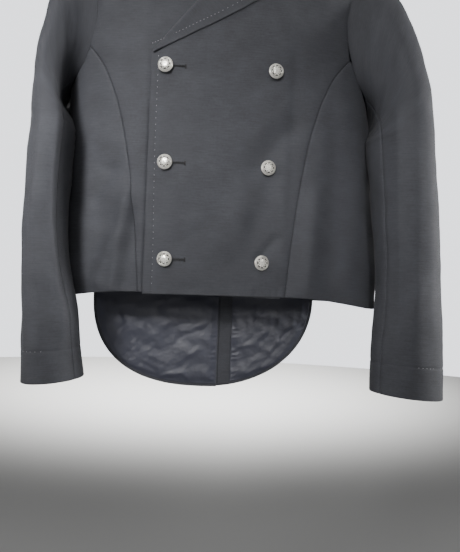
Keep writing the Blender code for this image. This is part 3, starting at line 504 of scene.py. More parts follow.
# A light's cone is the angle of its spread in degrees, and a softbox has none
StageLight = namedtuple("StageLight", "name energy size cone place aim")
STAGE_LIGHTS = rows_of(StageLight, (
    ("key", 210.0, 0.3, 20, (-0.76, -2.2, 0.44), (-0.165, 0.0, -0.33)),
    ("left_front", 300.0, 0.18, 11, (-0.76, -2.2, 0.3), (-0.195, 0.0, -0.38)),
    ("right_fold", 270.0, 0.12, 4, (-0.3, -2.3, 0.1), (0.138, 0.0, -0.36)),
    ("right_sleeve", 205.0, 0.2, 9, (0.5, -2.3, 0.1), (0.31, 0.0, -0.42)),
    ("tail_inside", 95.0, 0.15, 7, (0.35, -2.3, -0.15), (0.05, 0.0, -0.61)),
    ("right_edge", 250.0, 0.15, 40, (2.3, -0.1, -0.1), (0.3, 0.0, -0.4)),
    ("left_edge", 90.0, 0.4, 40, (-2.3, -0.7, -0.1), (-0.22, 0.0, -0.4)),
    ("back_left", 150.0, 0.4, 30, (1.3, 2.0, 0.55), (0.03, 0.0, -0.35)),
    ("back_right", 90.0, 0.4, 30, (-1.5, 1.9, 0.45), (0.03, 0.0, -0.35)),
    ("above", 120.0, 1.0, 120, (0.0, -0.6, 2.2), (0.0, 0.0, -0.9)),
    ("floor_behind", 2900.0, 0.6, 82, (0.0, 2.6, 2.4), (0.0, 5.0, -1.45)),
    ("floor_before", 620.0, 0.6, 80, (0.0, -2.4, 2.4), (0.0, -3.6, -1.45)),
    ("floor_left", 700.0, 0.6, 80, (-2.4, 0.0, 2.4), (-3.6, 0.0, -1.45)),
    ("floor_right", 620.0, 0.6, 80, (2.4, 0.0, 2.4), (3.6, 0.0, -1.45)),
    ("softbox", 13.0, 1.3, 0, (-0.45, -1.7, 0.75), (0.0, 0.0, -0.35)),
))
LIGHT_COLOR = (1.0, 0.995, 0.985)
WORLD_COLOR = (0.93, 0.95, 1.0)
WORLD_STRENGTH = 0.06
BACKDROP_STRENGTH = 2.1


def mixed(first, last, share):
    return (1 - share) * first + share * last


def ease(value, start, end):
    """0 before start, 1 after end, smooth between."""
    k = np.clip((value - start) / (end - start), 0, 1)
    return k * k * (3 - 2 * k)


def bump(distance, half_breadth):
    return np.exp(-(distance**2) / (2 * half_breadth**2))


def signed_power(value, power):
    return np.sign(value) * np.abs(value) ** power


def unit(vectors):
    return vectors / np.maximum(np.linalg.norm(vectors, axis=-1, keepdims=True), 1e-12)


def paired(first, second):
    return np.stack(np.broadcast_arrays(first, second), axis=-1)


def parts(places):
    """The first values of all places, and then the second ones."""
    return np.moveaxis(places, -1, 0)


def reach_along(points):
    """Lengths from the first point of a line to each of its points."""
    return np.cumsum(np.r_[0, np.linalg.norm(np.diff(points, axis=0), axis=1)])


def at_reach(marks, reach, points):
    return np.stack([np.interp(marks, reach, column) for column in points.T], axis=-1)


def curves(table):
    """Smooth curves through the columns of a table, each a function of its first column."""
    columns = np.array(sorted(table)).T
    heights = columns[0]

    def curve(values):
        slopes = np.gradient(values, heights)

        def at(height):
            height = np.clip(height, heights[0], heights[-1])
            low = np.clip(np.searchsorted(heights, height) - 1, 0, len(heights) - 2)
            span = heights[low + 1] - heights[low]
            k = (height - heights[low]) / span
            start = k * (1 - k) ** 2 * span * slopes[low]
            end = -k * k * (1 - k) * span * slopes[low + 1]
            return mixed(values[low], values[low + 1], k * k * (3 - 2 * k)) + start + end

        return at

    return [curve(values) for values in columns[1:]]


HALF_WIDTH, FRONT_DEPTH, BACK_DEPTH, SHIFT = curves(BODY)
PRINCESS_X, = curves(PRINCESS)


def beside_run(u, v, run_u, run_v):
    """How far places lie to the side of a run that starts at 0, 0, and past its ends."""
    length = math.hypot(run_u, run_v)
    along, across = (u * run_u + v * run_v) / length, (u * run_v - v * run_u) / length
    return across, np.maximum(0, np.maximum(-along, along - length))


def creased(x, z, back, creases):
    """How far the creases of one table lift the cloth at these places."""
    total = np.zeros(np.shape(x))
    for crease in creases:
        run = crease.x_foot - crease.x_head, crease.z_foot - crease.z_head
        distances = beside_run(x - crease.x_head, z - crease.z_head, *run)
        here = back if crease.side == BACK else ~back
        total += here * crease.out * bump(np.hypot(*distances), crease.half_breadth)
    return total


def waved(u, v):
    """The slow unevenness of hanging cloth, for places along and up it."""
    total = np.zeros(np.shape(u))
    sway = (u * 1.7 - v) * 2 * math.pi / WAVE_SWAY_LENGTH
    for wave in WAVES:
        run = u * math.cos(wave.angle) + v * math.sin(wave.angle)
        bent = run + WAVE_SWAY * np.sin(sway + wave.phase)
        total += wave.height * np.sin(bent * 2 * math.pi / wave.length + wave.phase)
    return total


# The body's form


def oval_points(turn, z):
    depth = np.where(np.cos(turn) > 0, FRONT_DEPTH(z), BACK_DEPTH(z))
    power = 2 / OVAL_SQUARENESS
    x = SHIFT(z) + HALF_WIDTH(z) * signed_power(np.sin(turn), power)
    return np.stack([x, -depth * signed_power(np.cos(turn), power), z + 0 * x], axis=-1)


def body_normals(turn, z):
    step = BODY_NORMAL_STEP
    across = oval_points(turn + step, z) - oval_points(turn - step, z)
    up = oval_points(turn, np.minimum(0.0, z + step)) - oval_points(turn, z - step)
    return unit(np.cross(across, up))


def body_points(turn, z, out=0.0):
    """Points at these turns and heights, moved out from the body's surface."""
    points = oval_points(turn, z)
    height = out + creased(points[..., 0], z, np.cos(turn) <= 0, CREASES)
    return points + body_normals(turn, z) * height[..., None]


def turn_at(x, z, side=LEFT, back=False):
    """The turns at which the front or the back of the body passes x."""
    share = np.clip((x - SHIFT(z)) / HALF_WIDTH(z), -1, 1)
    turn = np.arcsin(signed_power(share, OVAL_SQUARENESS / 2))
    return side * math.pi - turn if back else turn


def turned(x, z, side):
    """The turn of a front place on one side, given by its distance x from the middle."""
    return side * turn_at(side * x, z)


def to_back(places, side):
    """The turns and heights of places on the back that are given by x and height."""
    return paired(turn_at(places[..., 0], places[..., 1], side, back=True), places[..., 1])


def length_round(turn):
    """The length along the cloth from the centre front, at a middling height."""
    turns = np.linspace(-1.2 * math.pi, 1.2 * math.pi, 1201)
    reach = reach_along(oval_points(turns, np.full(turns.shape, CUT_HEIGHT)))
    return np.interp(turn, turns, reach - np.interp(0, turns, reach))


def clear_of_body(points, clearance):
    """The points, moved out where they would be nearer than this to the body's surface."""

    def size(p):
        z = np.minimum(0, p[..., 2])
        depth = np.where(p[..., 1] < 0, FRONT_DEPTH(z), BACK_DEPTH(z))
        across = np.abs((p[..., 0] - SHIFT(z)) / HALF_WIDTH(z)) ** OVAL_SQUARENESS
        return (across + np.abs(p[..., 1] / depth) ** OVAL_SQUARENESS) ** (1 / OVAL_SQUARENESS)

    step = 0.0005
    points = np.array(points, float)
    for _ in range(4):
        here = size(points)
        moved = [size(points + axis * step) for axis in np.eye(3)]
        slope = (np.stack(moved, axis=-1) - here[..., None]) / step
        short = np.maximum(0, clearance - (here - 1) / np.linalg.norm(slope, axis=-1))
        points = points + unit(slope) * short[..., None]
    return points


def armhole(height, forward):
    """The turn of the left armhole's front (forward 1) or back (-1) edge."""
    share = (height - ARMHOLE_MIDDLE) / ARMHOLE_HALF
    return math.pi / 2 - forward * ARMHOLE_TURN * np.sqrt(np.maximum(0.0, 1 - share**2))


def armhole_at(angle):
    """Turn and height on the left armhole, from 0 at the shoulder, by way of the front."""
    height = ARMHOLE_MIDDLE + ARMHOLE_HALF * np.cos(angle)
    return math.pi / 2 - ARMHOLE_TURN * np.sin(angle), height


def front_lift(x, z, side):
    """The wearer's left front lies over the right one, and both ease back to the body."""
    return side * FRONT_LIFT * ease(x * side, *LIFT_SIDES) * ease(z, *LIFT_TOPS)


def back_seam_x(z):
    return BACK_SEAM_X * ease(z, 0.0, HEM_BACK)


def vent_tuck(x, z, side):
    """The wearer's right tail lies inside the left one along the vent."""
    if side == LEFT:
        return np.zeros(np.shape(x))
    near = ease(np.abs(x - back_seam_x(z)), *TUCK_REACH)
    return -VENT_TUCK * near * ease(z, *TUCK_TOPS)


def softness(turn, z):
    """The finer creases and waves of the cloth on the body."""
    x, y = np.moveaxis(oval_points(turn, z)[..., :2], -1, 0)
    round_body = length_round(math.pi) - length_round(-math.pi)
    reach = length_round(turn) + round_body * (turn < -math.pi / 2)
    side = bump(y - SIDE_FULLNESS_AT, SIDE_FULLNESS_BREADTH) * (x > 0)
    side = side * ease(z, *SIDE_FULLNESS_TOPS) * ease(z, HEM_SIDE, HEM_SIDE + 0.05)
    fine = creased(x, z, np.cos(turn) <= 0, FINE_CREASES)
    return fine + waved(reach, z) + SIDE_FULLNESS * side


def on_front(x, z, out=0.0):
    """Points on the wearer's left front, and the directions out of the cloth there."""
    x, z = np.broadcast_arrays(np.asarray(x, float), np.asarray(z, float))
    turn = turn_at(x, z)
    height = front_lift(x, z, LEFT) + softness(turn, z) + out
    return body_points(turn, z, height), body_normals(turn, z)


# Cut pieces


def spread(length, step=CLOTH_STEP, at_start=True, at_end=True, fine=None):
    """Shares from 0 to 1 about a step apart, with the closer rows of an edge at either end.

    Fine is a range of lengths in which the shares are a millimetre apart.
    """
    rows = np.array(EDGE_ROWS) / length
    low, high = rows[-1] * at_start, 1 - rows[-1] * at_end
    middle = np.linspace(low, high, max(2, round((high - low) * length / step)) + 1)
    if fine:
        nearest, furthest = np.array(fine) / length
        margin = FINE_STEP / 2 / length
        outside = (middle < nearest - margin) | (middle > furthest + margin)
        closer = np.arange(nearest, furthest + margin / 2.5, FINE_STEP / length)
        middle = np.r_[middle[outside], closer]
    edges = np.r_[rows[:len(rows) * at_start], 1 - rows[:len(rows) * at_end]]
    return np.unique(np.round(np.r_[0, edges, middle, 1], 9))


def through(points):
    """A path of straight runs through points, as a function of shares of its length."""
    points = np.array(points, float)
    reach = reach_along(points)
    return lambda k: at_reach(k * reach[-1], reach, points)


def patch(start, end, columns, rows, bottom=None, top=None):
    """Places between four edges, each a function of shares, as an array of rows from the bottom.

    A bottom or top that isn't given runs straight from the start to the end.
    """

    def straight(share):
        return through([edge(np.array([share]))[0] for edge in (start, end)])

    c, v = columns[None, :, None], rows[:, None, None]
    low, high = (bottom or straight(0.0))(columns)[None], (top or straight(1.0))(columns)[None]
    corners = mixed(mixed(low[:, :1], low[:, -1:], c), mixed(high[:, :1], high[:, -1:], c), v)
    across = mixed(start(rows)[:, None], end(rows)[:, None], c)
    return across + (1 - v) * low + v * high - corners


def steps_along(points, axis):
    """Lengths from the first row or column of a grid of points, along its lines."""
    gaps = np.linalg.norm(np.diff(points, axis=axis), axis=-1)
    first = np.zeros_like(np.take(gaps, [0], axis=axis))
    return np.concatenate([first, np.cumsum(gaps, axis=axis)], axis=axis)


def edge_distances(points):
    """Distances of each point of a grid from its start, end, bottom and top edges."""
    across, up = steps_along(points, 1), steps_along(points, 0)
    return across, across[:, -1:] - across, up, up[-1:] - up


def rounding(distance, wall):
    """How far a skin comes in towards the middle of the wall near a turned edge."""
    k = np.clip(distance / EDGE_RADIUS, 0, 1)
    return wall * 0.46 * (1 - np.sqrt(np.maximum(0, 1 - (1 - k) ** 2)))


def seam_dip(distance):
    return -SEAM_DIP * (bump(distance, SEAM_BREADTH) + bump(distance, SEAM_BREADTH * 3) / 2)


# A grid of a cloth's two skins, its flat places in metres, and where its inside is lined
Skins = namedtuple("Skins", "outer inner cut lined")
EDGES = ("start", "end", "bottom", "top")


def finish_edges(points, wall, seams=()):
    """The dip of the seams, the turning in of the edges, and the distance from the bottom."""
    distances = edge_distances(points)
    dip = np.zeros(points.shape[:2])
    for edge in seams:
        dip = dip + seam_dip(distances[EDGES.index(edge)])
    return dip, rounding(np.minimum.reduce(distances), wall), distances[2]


def body_skins(places, lift, seams=(), wall=CLOTH_WALL, edge=None, lined=True):
    """The skins of a patch of the body. Lift is a function of x and height, and edge the
    distances from the turned edges where they aren't the patch's own."""
    turn, z = places[..., 0], places[..., 1]
    base = oval_points(turn, z)
    dip, turned_in, up = finish_edges(base, wall, seams)
    if edge is not None:
        turned_in = rounding(edge, wall)
    height = lift(base[..., 0], z) + softness(turn, z) + dip
    outer = body_points(turn, z, height - turned_in)
    inner = body_points(turn, z, height - wall + turned_in)
    return Skins(outer, inner, paired(length_round(turn), z), lined & (up > TURNING_REACH))


def sew_shell(name, grids, materials):
    """One closed shell from grids of skins. Grids that share an edge are joined along it."""
    points, cuts, faces, slots, edges, partner = [], [], [], [], [], []
    start = 0
    for grid in grids:
        index = np.arange(grid.lined.size).reshape(grid.lined.shape)
        corners = (index[:-1, :-1], index[:-1, 1:], index[1:, 1:], index[1:, :-1])
        corners = np.stack(corners, axis=-1).reshape(-1, 4)
        outer, inner = grid.outer.reshape(-1, 3), grid.inner.reshape(-1, 3)
        a, b, c, d = corners[len(corners) // 2]
        if np.cross(outer[c] - outer[a], outer[d] - outer[b]) @ (outer[a] - inner[a]) < 0:
            corners = corners[:, ::-1]
        front = corners + start
        faces += [front, corners[:, ::-1] + start + index.size]
        slots += [np.zeros(len(corners), int), grid.lined[:-1, :-1].ravel().astype(int)]
        edges.append(np.stack([front, np.roll(front, -1, axis=1)], axis=-1).reshape(-1, 2))
        partner.append(np.r_[index.ravel() + index.size, index.ravel()] + start)
        points += [outer, inner]
        cuts += [grid.cut.reshape(-1, 2)] * 2
        start += 2 * index.size
    points, cuts, partner, edges = map(np.concatenate, (points, cuts, partner, edges))
    _, first, same = np.unique(np.round(points, 6), axis=0, return_index=True, return_inverse=True)
    same = same.ravel()
    pairs = np.sort(same[edges], axis=1)
    _, where, count = np.unique(pairs, axis=0, return_inverse=True, return_counts=True)
    rim = edges[count[where.ravel()] == 1]
    rim = np.stack([rim[:, 1], rim[:, 0], partner[rim[:, 0]], partner[rim[:, 1]]], axis=-1)
    faces = np.concatenate(faces + [rim])
    slots = np.concatenate(slots + [np.zeros(len(rim), int)])

    mesh = bpy.data.meshes.new(name)
    mesh.from_pydata(points[first].tolist(), [], same[faces].tolist())
    if mesh.validate():
        raise ValueError(f"{name} has faces that close on themselves")
    mesh.uv_layers.new(name="cut").data.foreach_set("uv", cuts[faces.ravel()].ravel())
    mesh.polygons.foreach_set("material_index", slots)
    return add_piece(name, mesh, materials)


def add_piece(name, mesh, materials):
    mesh.shade_smooth()
    for material in materials:
        mesh.materials.append(material)
    piece = bpy.data.objects.new(name, mesh)
    bpy.context.scene.collection.objects.link(piece)
    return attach(piece, BODY_NAME)


def flat_size(grids):
    """The width and length of a cut piece, and its area."""
    span = np.ptp(np.concatenate([grid.cut.reshape(-1, 2) for grid in grids]), axis=0)
    area = 0.0
    for p, *_ in grids:
        twice = np.cross(p[1:, 1:] - p[:-1, :-1], p[1:, :-1] - p[:-1, 1:])
        area += np.linalg.norm(twice, axis=-1).sum() / 2
    return tuple(span.tolist()), float(min(area, span[0] * span[1]))


def sew_cloth(node, grids, materials, slot="cloth"):
    """A sewn piece of cloth in place of its solid, declared with its cut size."""
    piece = sew_shell(node + SHELL_ENDS[slot], grids, materials)
    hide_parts(node)
    flat, area = flat_size(grids)
    print(f"{piece.name}: cut {flat[0]:.3f} by {flat[1]:.3f} m, {area:.4f} square metres")


# Fronts


def fades_below_break(z, fade):
    return ease(z, BREAK_HEIGHT + 0.01, BREAK_HEIGHT - fade)


def front_edges(side):
    """The edges of a front, as functions of shares of their height."""

    def inner(v):
        """The free edge from the hem up to the break, and then the roll line to the neck."""
        z = HEM_MIDDLE * (1 - v)
        k = np.clip(1 - z / BREAK_HEIGHT, 0, 1)
        turn = turned(-OVERLAP_EDGE + (OVERLAP_EDGE + ROLL_TOP_X) * k, z, side)
        return paired(turn + (math.pi / 2 - turn) * ease(k, 0.86, 1.0), z)

    def outer(v):
        """The princess seam up to the armhole, and then the armhole up to the shoulder's end."""
        z = mixed(PRINCESS_FOOT, SHOULDER_END, v)
        seam = turned(PRINCESS_X(z) - SEAM_GAP / 2, z, side)
        join = turned(PRINCESS_X(PRINCESS_TOP) - SEAM_GAP / 2, PRINCESS_TOP, side)
        slip = join - armhole(PRINCESS_TOP, 1)
        above = armhole(z, 1) + slip * ease(z, PRINCESS_TOP + 0.03, PRINCESS_TOP)
        return paired(np.where(z < PRINCESS_TOP, seam, above), z)

    return inner, outer


def front_places(side):
    columns, rows = spread(FRONT_SPAN[0], fine=FRONT_FINE[side]), spread(FRONT_SPAN[1])
    height = SHOULDER_END - PRINCESS_FOOT
    below = rows * height + PRINCESS_FOOT < PRINCESS_TOP
    angle = np.linspace(PRINCESS_TOP_ANGLE, 0, int(below.size * 0.42))
    rows = np.r_[rows[below], (armhole_at(angle)[1] - PRINCESS_FOOT) / height]
    return patch(*front_edges(side), columns, rows) * (side, 1)


def hem_pulls(x, z):
    """Small pulls of the hidden stitches that hold up the hem."""
    total = sum(depth * bump(x - place, HEM_PULL_BREADTH) for place, depth in HEM_PULLS)
    return -HEM_PULL_STRENGTH * total * bump(z - HEM_MIDDLE - HEM_PULL_MIDDLE, HEM_PULL_HEIGHT)


def pick_x(z):
    """X of the stitched line, which runs nearer to the left front's edge towards the top."""
    return PICK_INSET - PICK_DRIFT * ease(z, *PICK_DRIFT_HEIGHTS) - OVERLAP_EDGE


def pick_groove(x, z):
    """The shallow line into which the pick stitches draw the edge."""
    return -PICK_DIP * bump(x - pick_x(z), PICK_GROOVE_BREADTH) * fades_below_break(z, 0.01)


def make_front(side, finishes):
    def lift(x, z):
        height = front_lift(x, z, side)
        if side == LEFT:
            return height + hem_pulls(x, z) + pick_groove(x, z)
        under_edge = bump(x + OVERLAP_EDGE, OVERLAP_PRESS_BREADTH)
        return height - OVERLAP_PRESS * under_edge * fades_below_break(z, 0.02)

    skins = body_skins(front_places(side), lift, seams=("end", "top"))
    sew_cloth(f"{SIDES[side]}_front", [skins], finishes)


def make_side_front(side, finishes):
    """The panel between the princess seam and the side seam, under the armhole."""

    def start(v):
        z = mixed(PRINCESS_FOOT, PRINCESS_TOP, v)
        return paired(turned(PRINCESS_X(z) + SEAM_GAP / 2, z, side), z)

    def end(v):
        return paired(math.pi / 2, mixed(HEM_SIDE, ARMPIT, v))

    arc = paired(*armhole_at(np.linspace(PRINCESS_TOP_ANGLE, math.pi, 25)[1:-1]))
    top = through(np.concatenate([start(np.ones(1)), arc, end(np.ones(1))]))
    turns = np.linspace(start(np.zeros(1))[0, 0], math.pi / 2, 9)
    hem = mixed(PRINCESS_FOOT, HEM_SIDE - 0.003, ease(turns, turns[0], turns[6]))
    hem[-1] = HEM_SIDE
    columns, rows = map(spread, SIDE_FRONT_SPAN)
    places = patch(start, end, columns, rows, through(paired(turns, hem)), top)
    skins = body_skins(places * (side, 1), lambda x, z: 0 * x, seams=("start", "end", "top"))
    sew_cloth(f"{SIDES[side]}_side_front", [skins], finishes)


# Backs and tails


def back_inner_x(z, side):
    """X of a back panel's edge along the back seam and, below it, along the vent."""
    lap = (VENT_LAP - SEAM_LAP) * ease(z, VENT_TOP, VENT_TOP - 0.012)
    return back_seam_x(z) - side * (SEAM_LAP + lap)


def tail_outline(angle, side, inset=0.0):
    """X and height on the tail's rounded edge, by an angle that is 0 at its side."""
    power = 2 / TAILS[side].squareness
    x = TAIL_MIDDLE + side * (TAILS[side].reach - inset) * signed_power(np.cos(angle), power)
    drop = (HEM_BACK - TAIL_FOOT - inset) * signed_power(np.sin(angle), power)
    return paired(x, HEM_BACK - drop)


def tail_places(side, inner_x, inset, columns, rows):
    """X and height over a tail, from its inner edge to its rounded one and down to its foot."""
    share = side * (inner_x(TAIL_FOOT) - TAIL_MIDDLE) / (TAILS[side].reach - inset)
    foot_angle = math.acos(signed_power(share, TAILS[side].squareness / 2))
    foot = tail_outline(foot_angle, side, inset)[1]

    def start(v):
        z = mixed(foot, HEM_BACK, v)
        return paired(inner_x(z), z)

    def end(v):
        return tail_outline(TAIL_CORNER * (1 - v), side, inset)

    def bottom(c):
        return tail_outline(mixed(foot_angle, TAIL_CORNER, c), side, inset)

    return patch(start, end, columns, rows, bottom)


def make_back(side, finishes):
    """Half of the back with its half of the tail."""

    def inner_x(z):
        return back_inner_x(z, side)

    def start(v):
        z = HEM_BACK * (1 - v)
        return paired(side * turn_at(inner_x(z), z, side, back=True), z)

    def end(v):
        z = HEM_BACK * (1 - v)
        seam = math.pi / 2
        within = (z >= ARMPIT) & (z <= SHOULDER_END)
        return paired(np.where(within, np.maximum(seam, armhole(z, -1)), seam), z)

    tail_x = TAIL_MIDDLE + side * TAILS[side].reach
    tail_turn = side * turn_at(tail_x, HEM_BACK, side, back=True)
    hem_turns = start(np.zeros(1))[0, 0], tail_turn, math.pi / 2
    tail_columns, tail_rows = spread(TAIL_SPAN[0]), spread(TAIL_SPAN[1], at_end=False)
    columns = np.r_[tail_columns * TAIL_SHARE, mixed(TAIL_SHARE, 1, spread(BESIDE_TAIL)[1:])]
    rise = ARMPIT - HEM_BACK
    below = spread(rise, at_end=False) * rise + HEM_BACK
    beside = armhole_at(np.linspace(math.pi, 0, ARMHOLE_ROWS)[1:])[1]
    above = SHOULDER_END * (1 - spread(NECK_RISE, at_start=False)[1:])
    rows = 1 - np.r_[below, beside, above] / HEM_BACK

    def bottom(c):
        return paired(np.interp(c, (0, TAIL_SHARE, 1), hem_turns), HEM_BACK)

    upper = patch(start, end, columns, rows, bottom) * (side, 1)
    tail = to_back(tail_places(side, inner_x, 0.0, tail_columns, tail_rows), side)
    shared = slice(0, len(tail_columns))
    tail[-1] = upper[0, shared]

    from_start, from_end, up, from_top = edge_distances(oval_points(*parts(upper)))
    above_tail = np.hypot(np.maximum(0, from_start[:, shared][:, -1:] - from_start), up)
    upper_edge = np.minimum.reduce([from_start, from_end, from_top, above_tail])
    tail_edge = np.minimum.reduce(edge_distances(oval_points(*parts(tail)))[:3])

    def lift(x, z):
        valley = seam_dip(np.abs(x - back_seam_x(z)))
        return vent_tuck(x, z, side) + valley * ease(z, VENT_TOP - 0.004, VENT_TOP + 0.004)

    skins = body_skins(upper, lift, seams=("end", "top"), edge=upper_edge)
    skins = skins._replace(lined=above_tail > TURNING_REACH)
    tail_skins = body_skins(tail, lift, edge=tail_edge, lined=False)
    for low, high in zip(tail_skins[:2], skins[:2]):
        low[-1] = high[0, shared]
    sew_cloth(f"{SIDES[side]}_back", [skins, tail_skins], finishes)


def crumpled(x, z):
    """The satin's crumples, as heights towards the front."""
    total = waved(x * CRUMPLE_WAVES, z * CRUMPLE_WAVES)
    for crumple in CRUMPLES:
        angle = math.radians(crumple.angle)
        dx, dz = x - crumple.x, z - crumple.z
        along = dx * math.cos(angle) + dz * math.sin(angle)
        across = dz * math.cos(angle) - dx * math.sin(angle) + along**2 * CRUMPLE_BOW
        length = np.exp(-((along / crumple.half_length) ** 4))
        total += crumple.out * length * bump(across, crumple.half_breadth * CRUMPLE_BREADTH)
    return total * CRUMPLE_SHARE


def puckers(distance, along):
    """Small gathers where the lining is felled to the cloth."""
    drift = along + PUCKER_DRIFT * np.sin(along * 2 * math.pi / PUCKER_DRIFT_LENGTH)
    height = PUCKER_MEAN + PUCKER_CHANGE * np.sin(along * PUCKER_CHANGE_RATE)
    wave = np.cos(drift * 2 * math.pi / LINING_PUCKER_PITCH) * height
    reach = np.exp(-((distance / LINING_PUCKER_REACH) ** 2)) * ease(distance, 0.0, FELLED_EDGE)
    return LINING_PUCKER_OUT * wave * reach


def tail_satin(side, inner_x):
    """The skins of the lining on the inside of a tail."""
    breadth, height = LINING_SPAN
    columns, rows = spread(breadth, LINING_STEP), spread(height, LINING_STEP, at_end=False)
    tail = tail_places(side, inner_x, LINING_INSET, columns, rows)
    rise = tail[-1] + np.linspace(0, LINING_TOP - HEM_BACK, 14)[1:, None, None] * (0, 1)
    places = np.concatenate([tail, rise])
    turns = to_back(places, side)
    base = oval_points(*parts(turns))
    from_start, from_end, up, _ = edge_distances(base)
    edge = np.minimum.reduce([from_start, from_end, up])
    along_start, along_end = steps_along(base, 0), steps_along(base, 1)
    hem_gather = puckers(np.minimum(from_end, up), along_start + along_end)
    gather = puckers(from_start, along_start) + HEM_GATHER_SHARE * hem_gather
    form = (crumpled(*parts(places)) + gather) * ease(edge, 0.0, FLAT_EDGE)
    inward = np.maximum(0, ease(edge, 0.0, SLACK_REACH) * LINING_SLACK + form)

    def lift(x, z):
        return vent_tuck(x, z, side) - CLOTH_WALL - LAYER_GAP - inward

    return body_skins(turns, lift, wall=LINING_WALL, lined=False)


def make_tail_insides(lining, cloth):
    inner_edges = {
        LEFT: lambda z: FACING_OUTER_X + SEAM_GAP,
        RIGHT: lambda z: back_inner_x(z, RIGHT) - LINING_PAST_VENT,
    }
    for side, inner_x in inner_edges.items():
        skins = tail_satin(side, inner_x)
        sew_cloth(f"{SIDES[side]}_tail_lining", [skins], [lining, lining],
                  slot="lining")

    foot, breadth = TAIL_FOOT + LINING_INSET, FACING_OUTER_X - FACING_INNER_X
    x = mixed(FACING_INNER_X, FACING_OUTER_X, spread(breadth, 0.002))
    z = mixed(foot, LINING_TOP, spread(LINING_TOP - foot))
    turns = to_back(paired(x[None], z[:, None]), LEFT)
    skins = body_skins(turns, lambda x, z: -CLOTH_WALL - LAYER_GAP, wall=LINING_WALL, lined=False)
    sew_cloth("vent_facing", [skins], [cloth, cloth])


# Lapels and collar


def lapel_edge(k):
    """The lapel's outer edge on the left front, from its foot to the peak, a little full."""
    foot = np.array(LAPEL_FOOT)
    run = np.array(PEAK) - foot
    fullness = np.array((run[1], -run[0])) / np.linalg.norm(run) * LAPEL_BELLY
    return foot + run * k[:, None] + fullness * (np.sin(math.pi * k)[:, None] ** 1.2)


def roll_line(k):
    """X and height on the left front's roll line, up to the gorge."""
    return mixed(np.array((-OVERLAP_EDGE, BREAK_HEIGHT)), np.array(GORGE_INNER), k[:, None])


def lapel_places(roll_start, edge_start):
    gorge = np.array(GORGE_INNER) + (0.0002, -0.0003)
    foot = roll_line(np.array([roll_start]))

    def start(v):
        return mixed(foot, gorge, v[:, None])

    def end(v):
        return lapel_edge(mixed(edge_start, 1, np.clip(v, 0, 1)))

    top = through([gorge, NOTCH, PEAK])
    return patch(start, end, *map(spread, LAPEL_SPAN), top=top)


def make_lapel(side, finishes, roll_start, edge_start):
    places = lapel_places(roll_start, edge_start)
    turns = paired(turn_at(*parts(places)), places[..., 1]) * (side, 1)
    from_roll = edge_distances(oval_points(*parts(turns)))[0]
    soft_roll = ROLL_FULLNESS * bump(from_roll - ROLL_REACH, ROLL_REACH)
    raised = (CLOTH_WALL + LAYER_GAP + soft_roll) * ease(from_roll, 0.0, ROLL_REACH)

    skins = body_skins(turns, lambda x, z: front_lift(x, z, side) + raised, lined=False)
    run = unit(skins.cut[-1, 0] - skins.cut[0, 0])
    skins = skins._replace(cut=paired(skins.cut @ (run[1], -run[0]), skins.cut @ run))
    sew_cloth(f"{SIDES[side]}_lapel", [skins], finishes)


def collar_stations():
    """The left half of the collar, from the gorge to the centre back."""
    (gorge_x, gorge_z), (notch_x, notch_z) = GORGE_INNER, NOTCH
    gorge, notch, half = turn_at(gorge_x, gorge_z), turn_at(notch_x, notch_z), math.pi / 2
    return rows_of(CollarStation, (
        (0.0, gorge, gorge_z + 0.002, 0.0032, 0.005, notch, notch_z + 0.003),
        (0.12, 0.75, -0.016, 0.0030, 0.011, 0.95, -0.037),
        (0.25, half, 0.0014, -0.0010, 0.020, half, -0.0105),
        (0.50, 2.05, 0.0014, -0.0010, 0.025, 2.05, -0.0155),
        (0.75, 2.60, 0.0014, -0.0010, 0.027, 2.60, -0.0165),
        (1.0, math.pi, 0.0014, -0.0010, 0.028, math.pi, -0.0170),
    ))


def collar_half(along, side):
    """Points across half the collar: up its stand, over the fold and down to its outer edge."""
    at = CollarStation(along, *(column(along) for column in curves(collar_stations())))
    seam = body_points(side * at.seam_turn, at.seam_height, at.seam_out)
    edge = body_points(side * at.edge_turn, at.edge_height, COLLAR_LIFT)
    upward, outward = np.array((0.0, 0.0, 1.0)), unit(seam * (1, 1, 0))
    fold = seam + at.stand[:, None] * upward - outward * COLLAR_LEAN
    tuck = ease(along, 0.14, 0.25)[:, None]
    foot = seam - tuck * (upward * COLLAR_TUCK + outward * COLLAR_TUCK_IN)
    centre = fold + (outward - upward) * COLLAR_BEND
    bend = [centre + (math.sin(a) * upward - math.cos(a) * outward) * COLLAR_BEND
            for a in np.linspace(0, math.pi, 9)]
    fall = [clear_of_body(mixed(bend[-1], edge, k), COLLAR_LIFT)
            for k in spread(COLLAR_SPAN[1])[1:]]
    return np.stack([mixed(foot, fold, k) for k in np.linspace(0, 1, 8)] + bend + fall, axis=1)


def make_collar(finishes):
    half = spread(COLLAR_SPAN[0], at_end=False)
    middle = np.concatenate([collar_half(half, LEFT), collar_half(half[-2::-1], RIGHT)])
    normal = unit(np.cross(np.gradient(middle, axis=1), np.gradient(middle, axis=0)))
    body_outward = body_normals(np.array([math.pi]), np.array([-0.05]))[0]
    normal = normal * np.sign(normal[len(half), -1] @ body_outward)
    offset = normal * (CLOTH_WALL / 2 - finish_edges(middle, CLOTH_WALL)[1])[..., None]
    cut = paired(steps_along(middle, 0)[:, -1:], steps_along(middle, 1))
    skins = Skins(middle + offset, middle - offset, cut, np.zeros(cut.shape[:2], bool))
    sew_cloth("collar", [skins], finishes)


# Sleeves


def hang_length(side):
    return SLEEVES[side][0].height - SLEEVES[side][-1].height


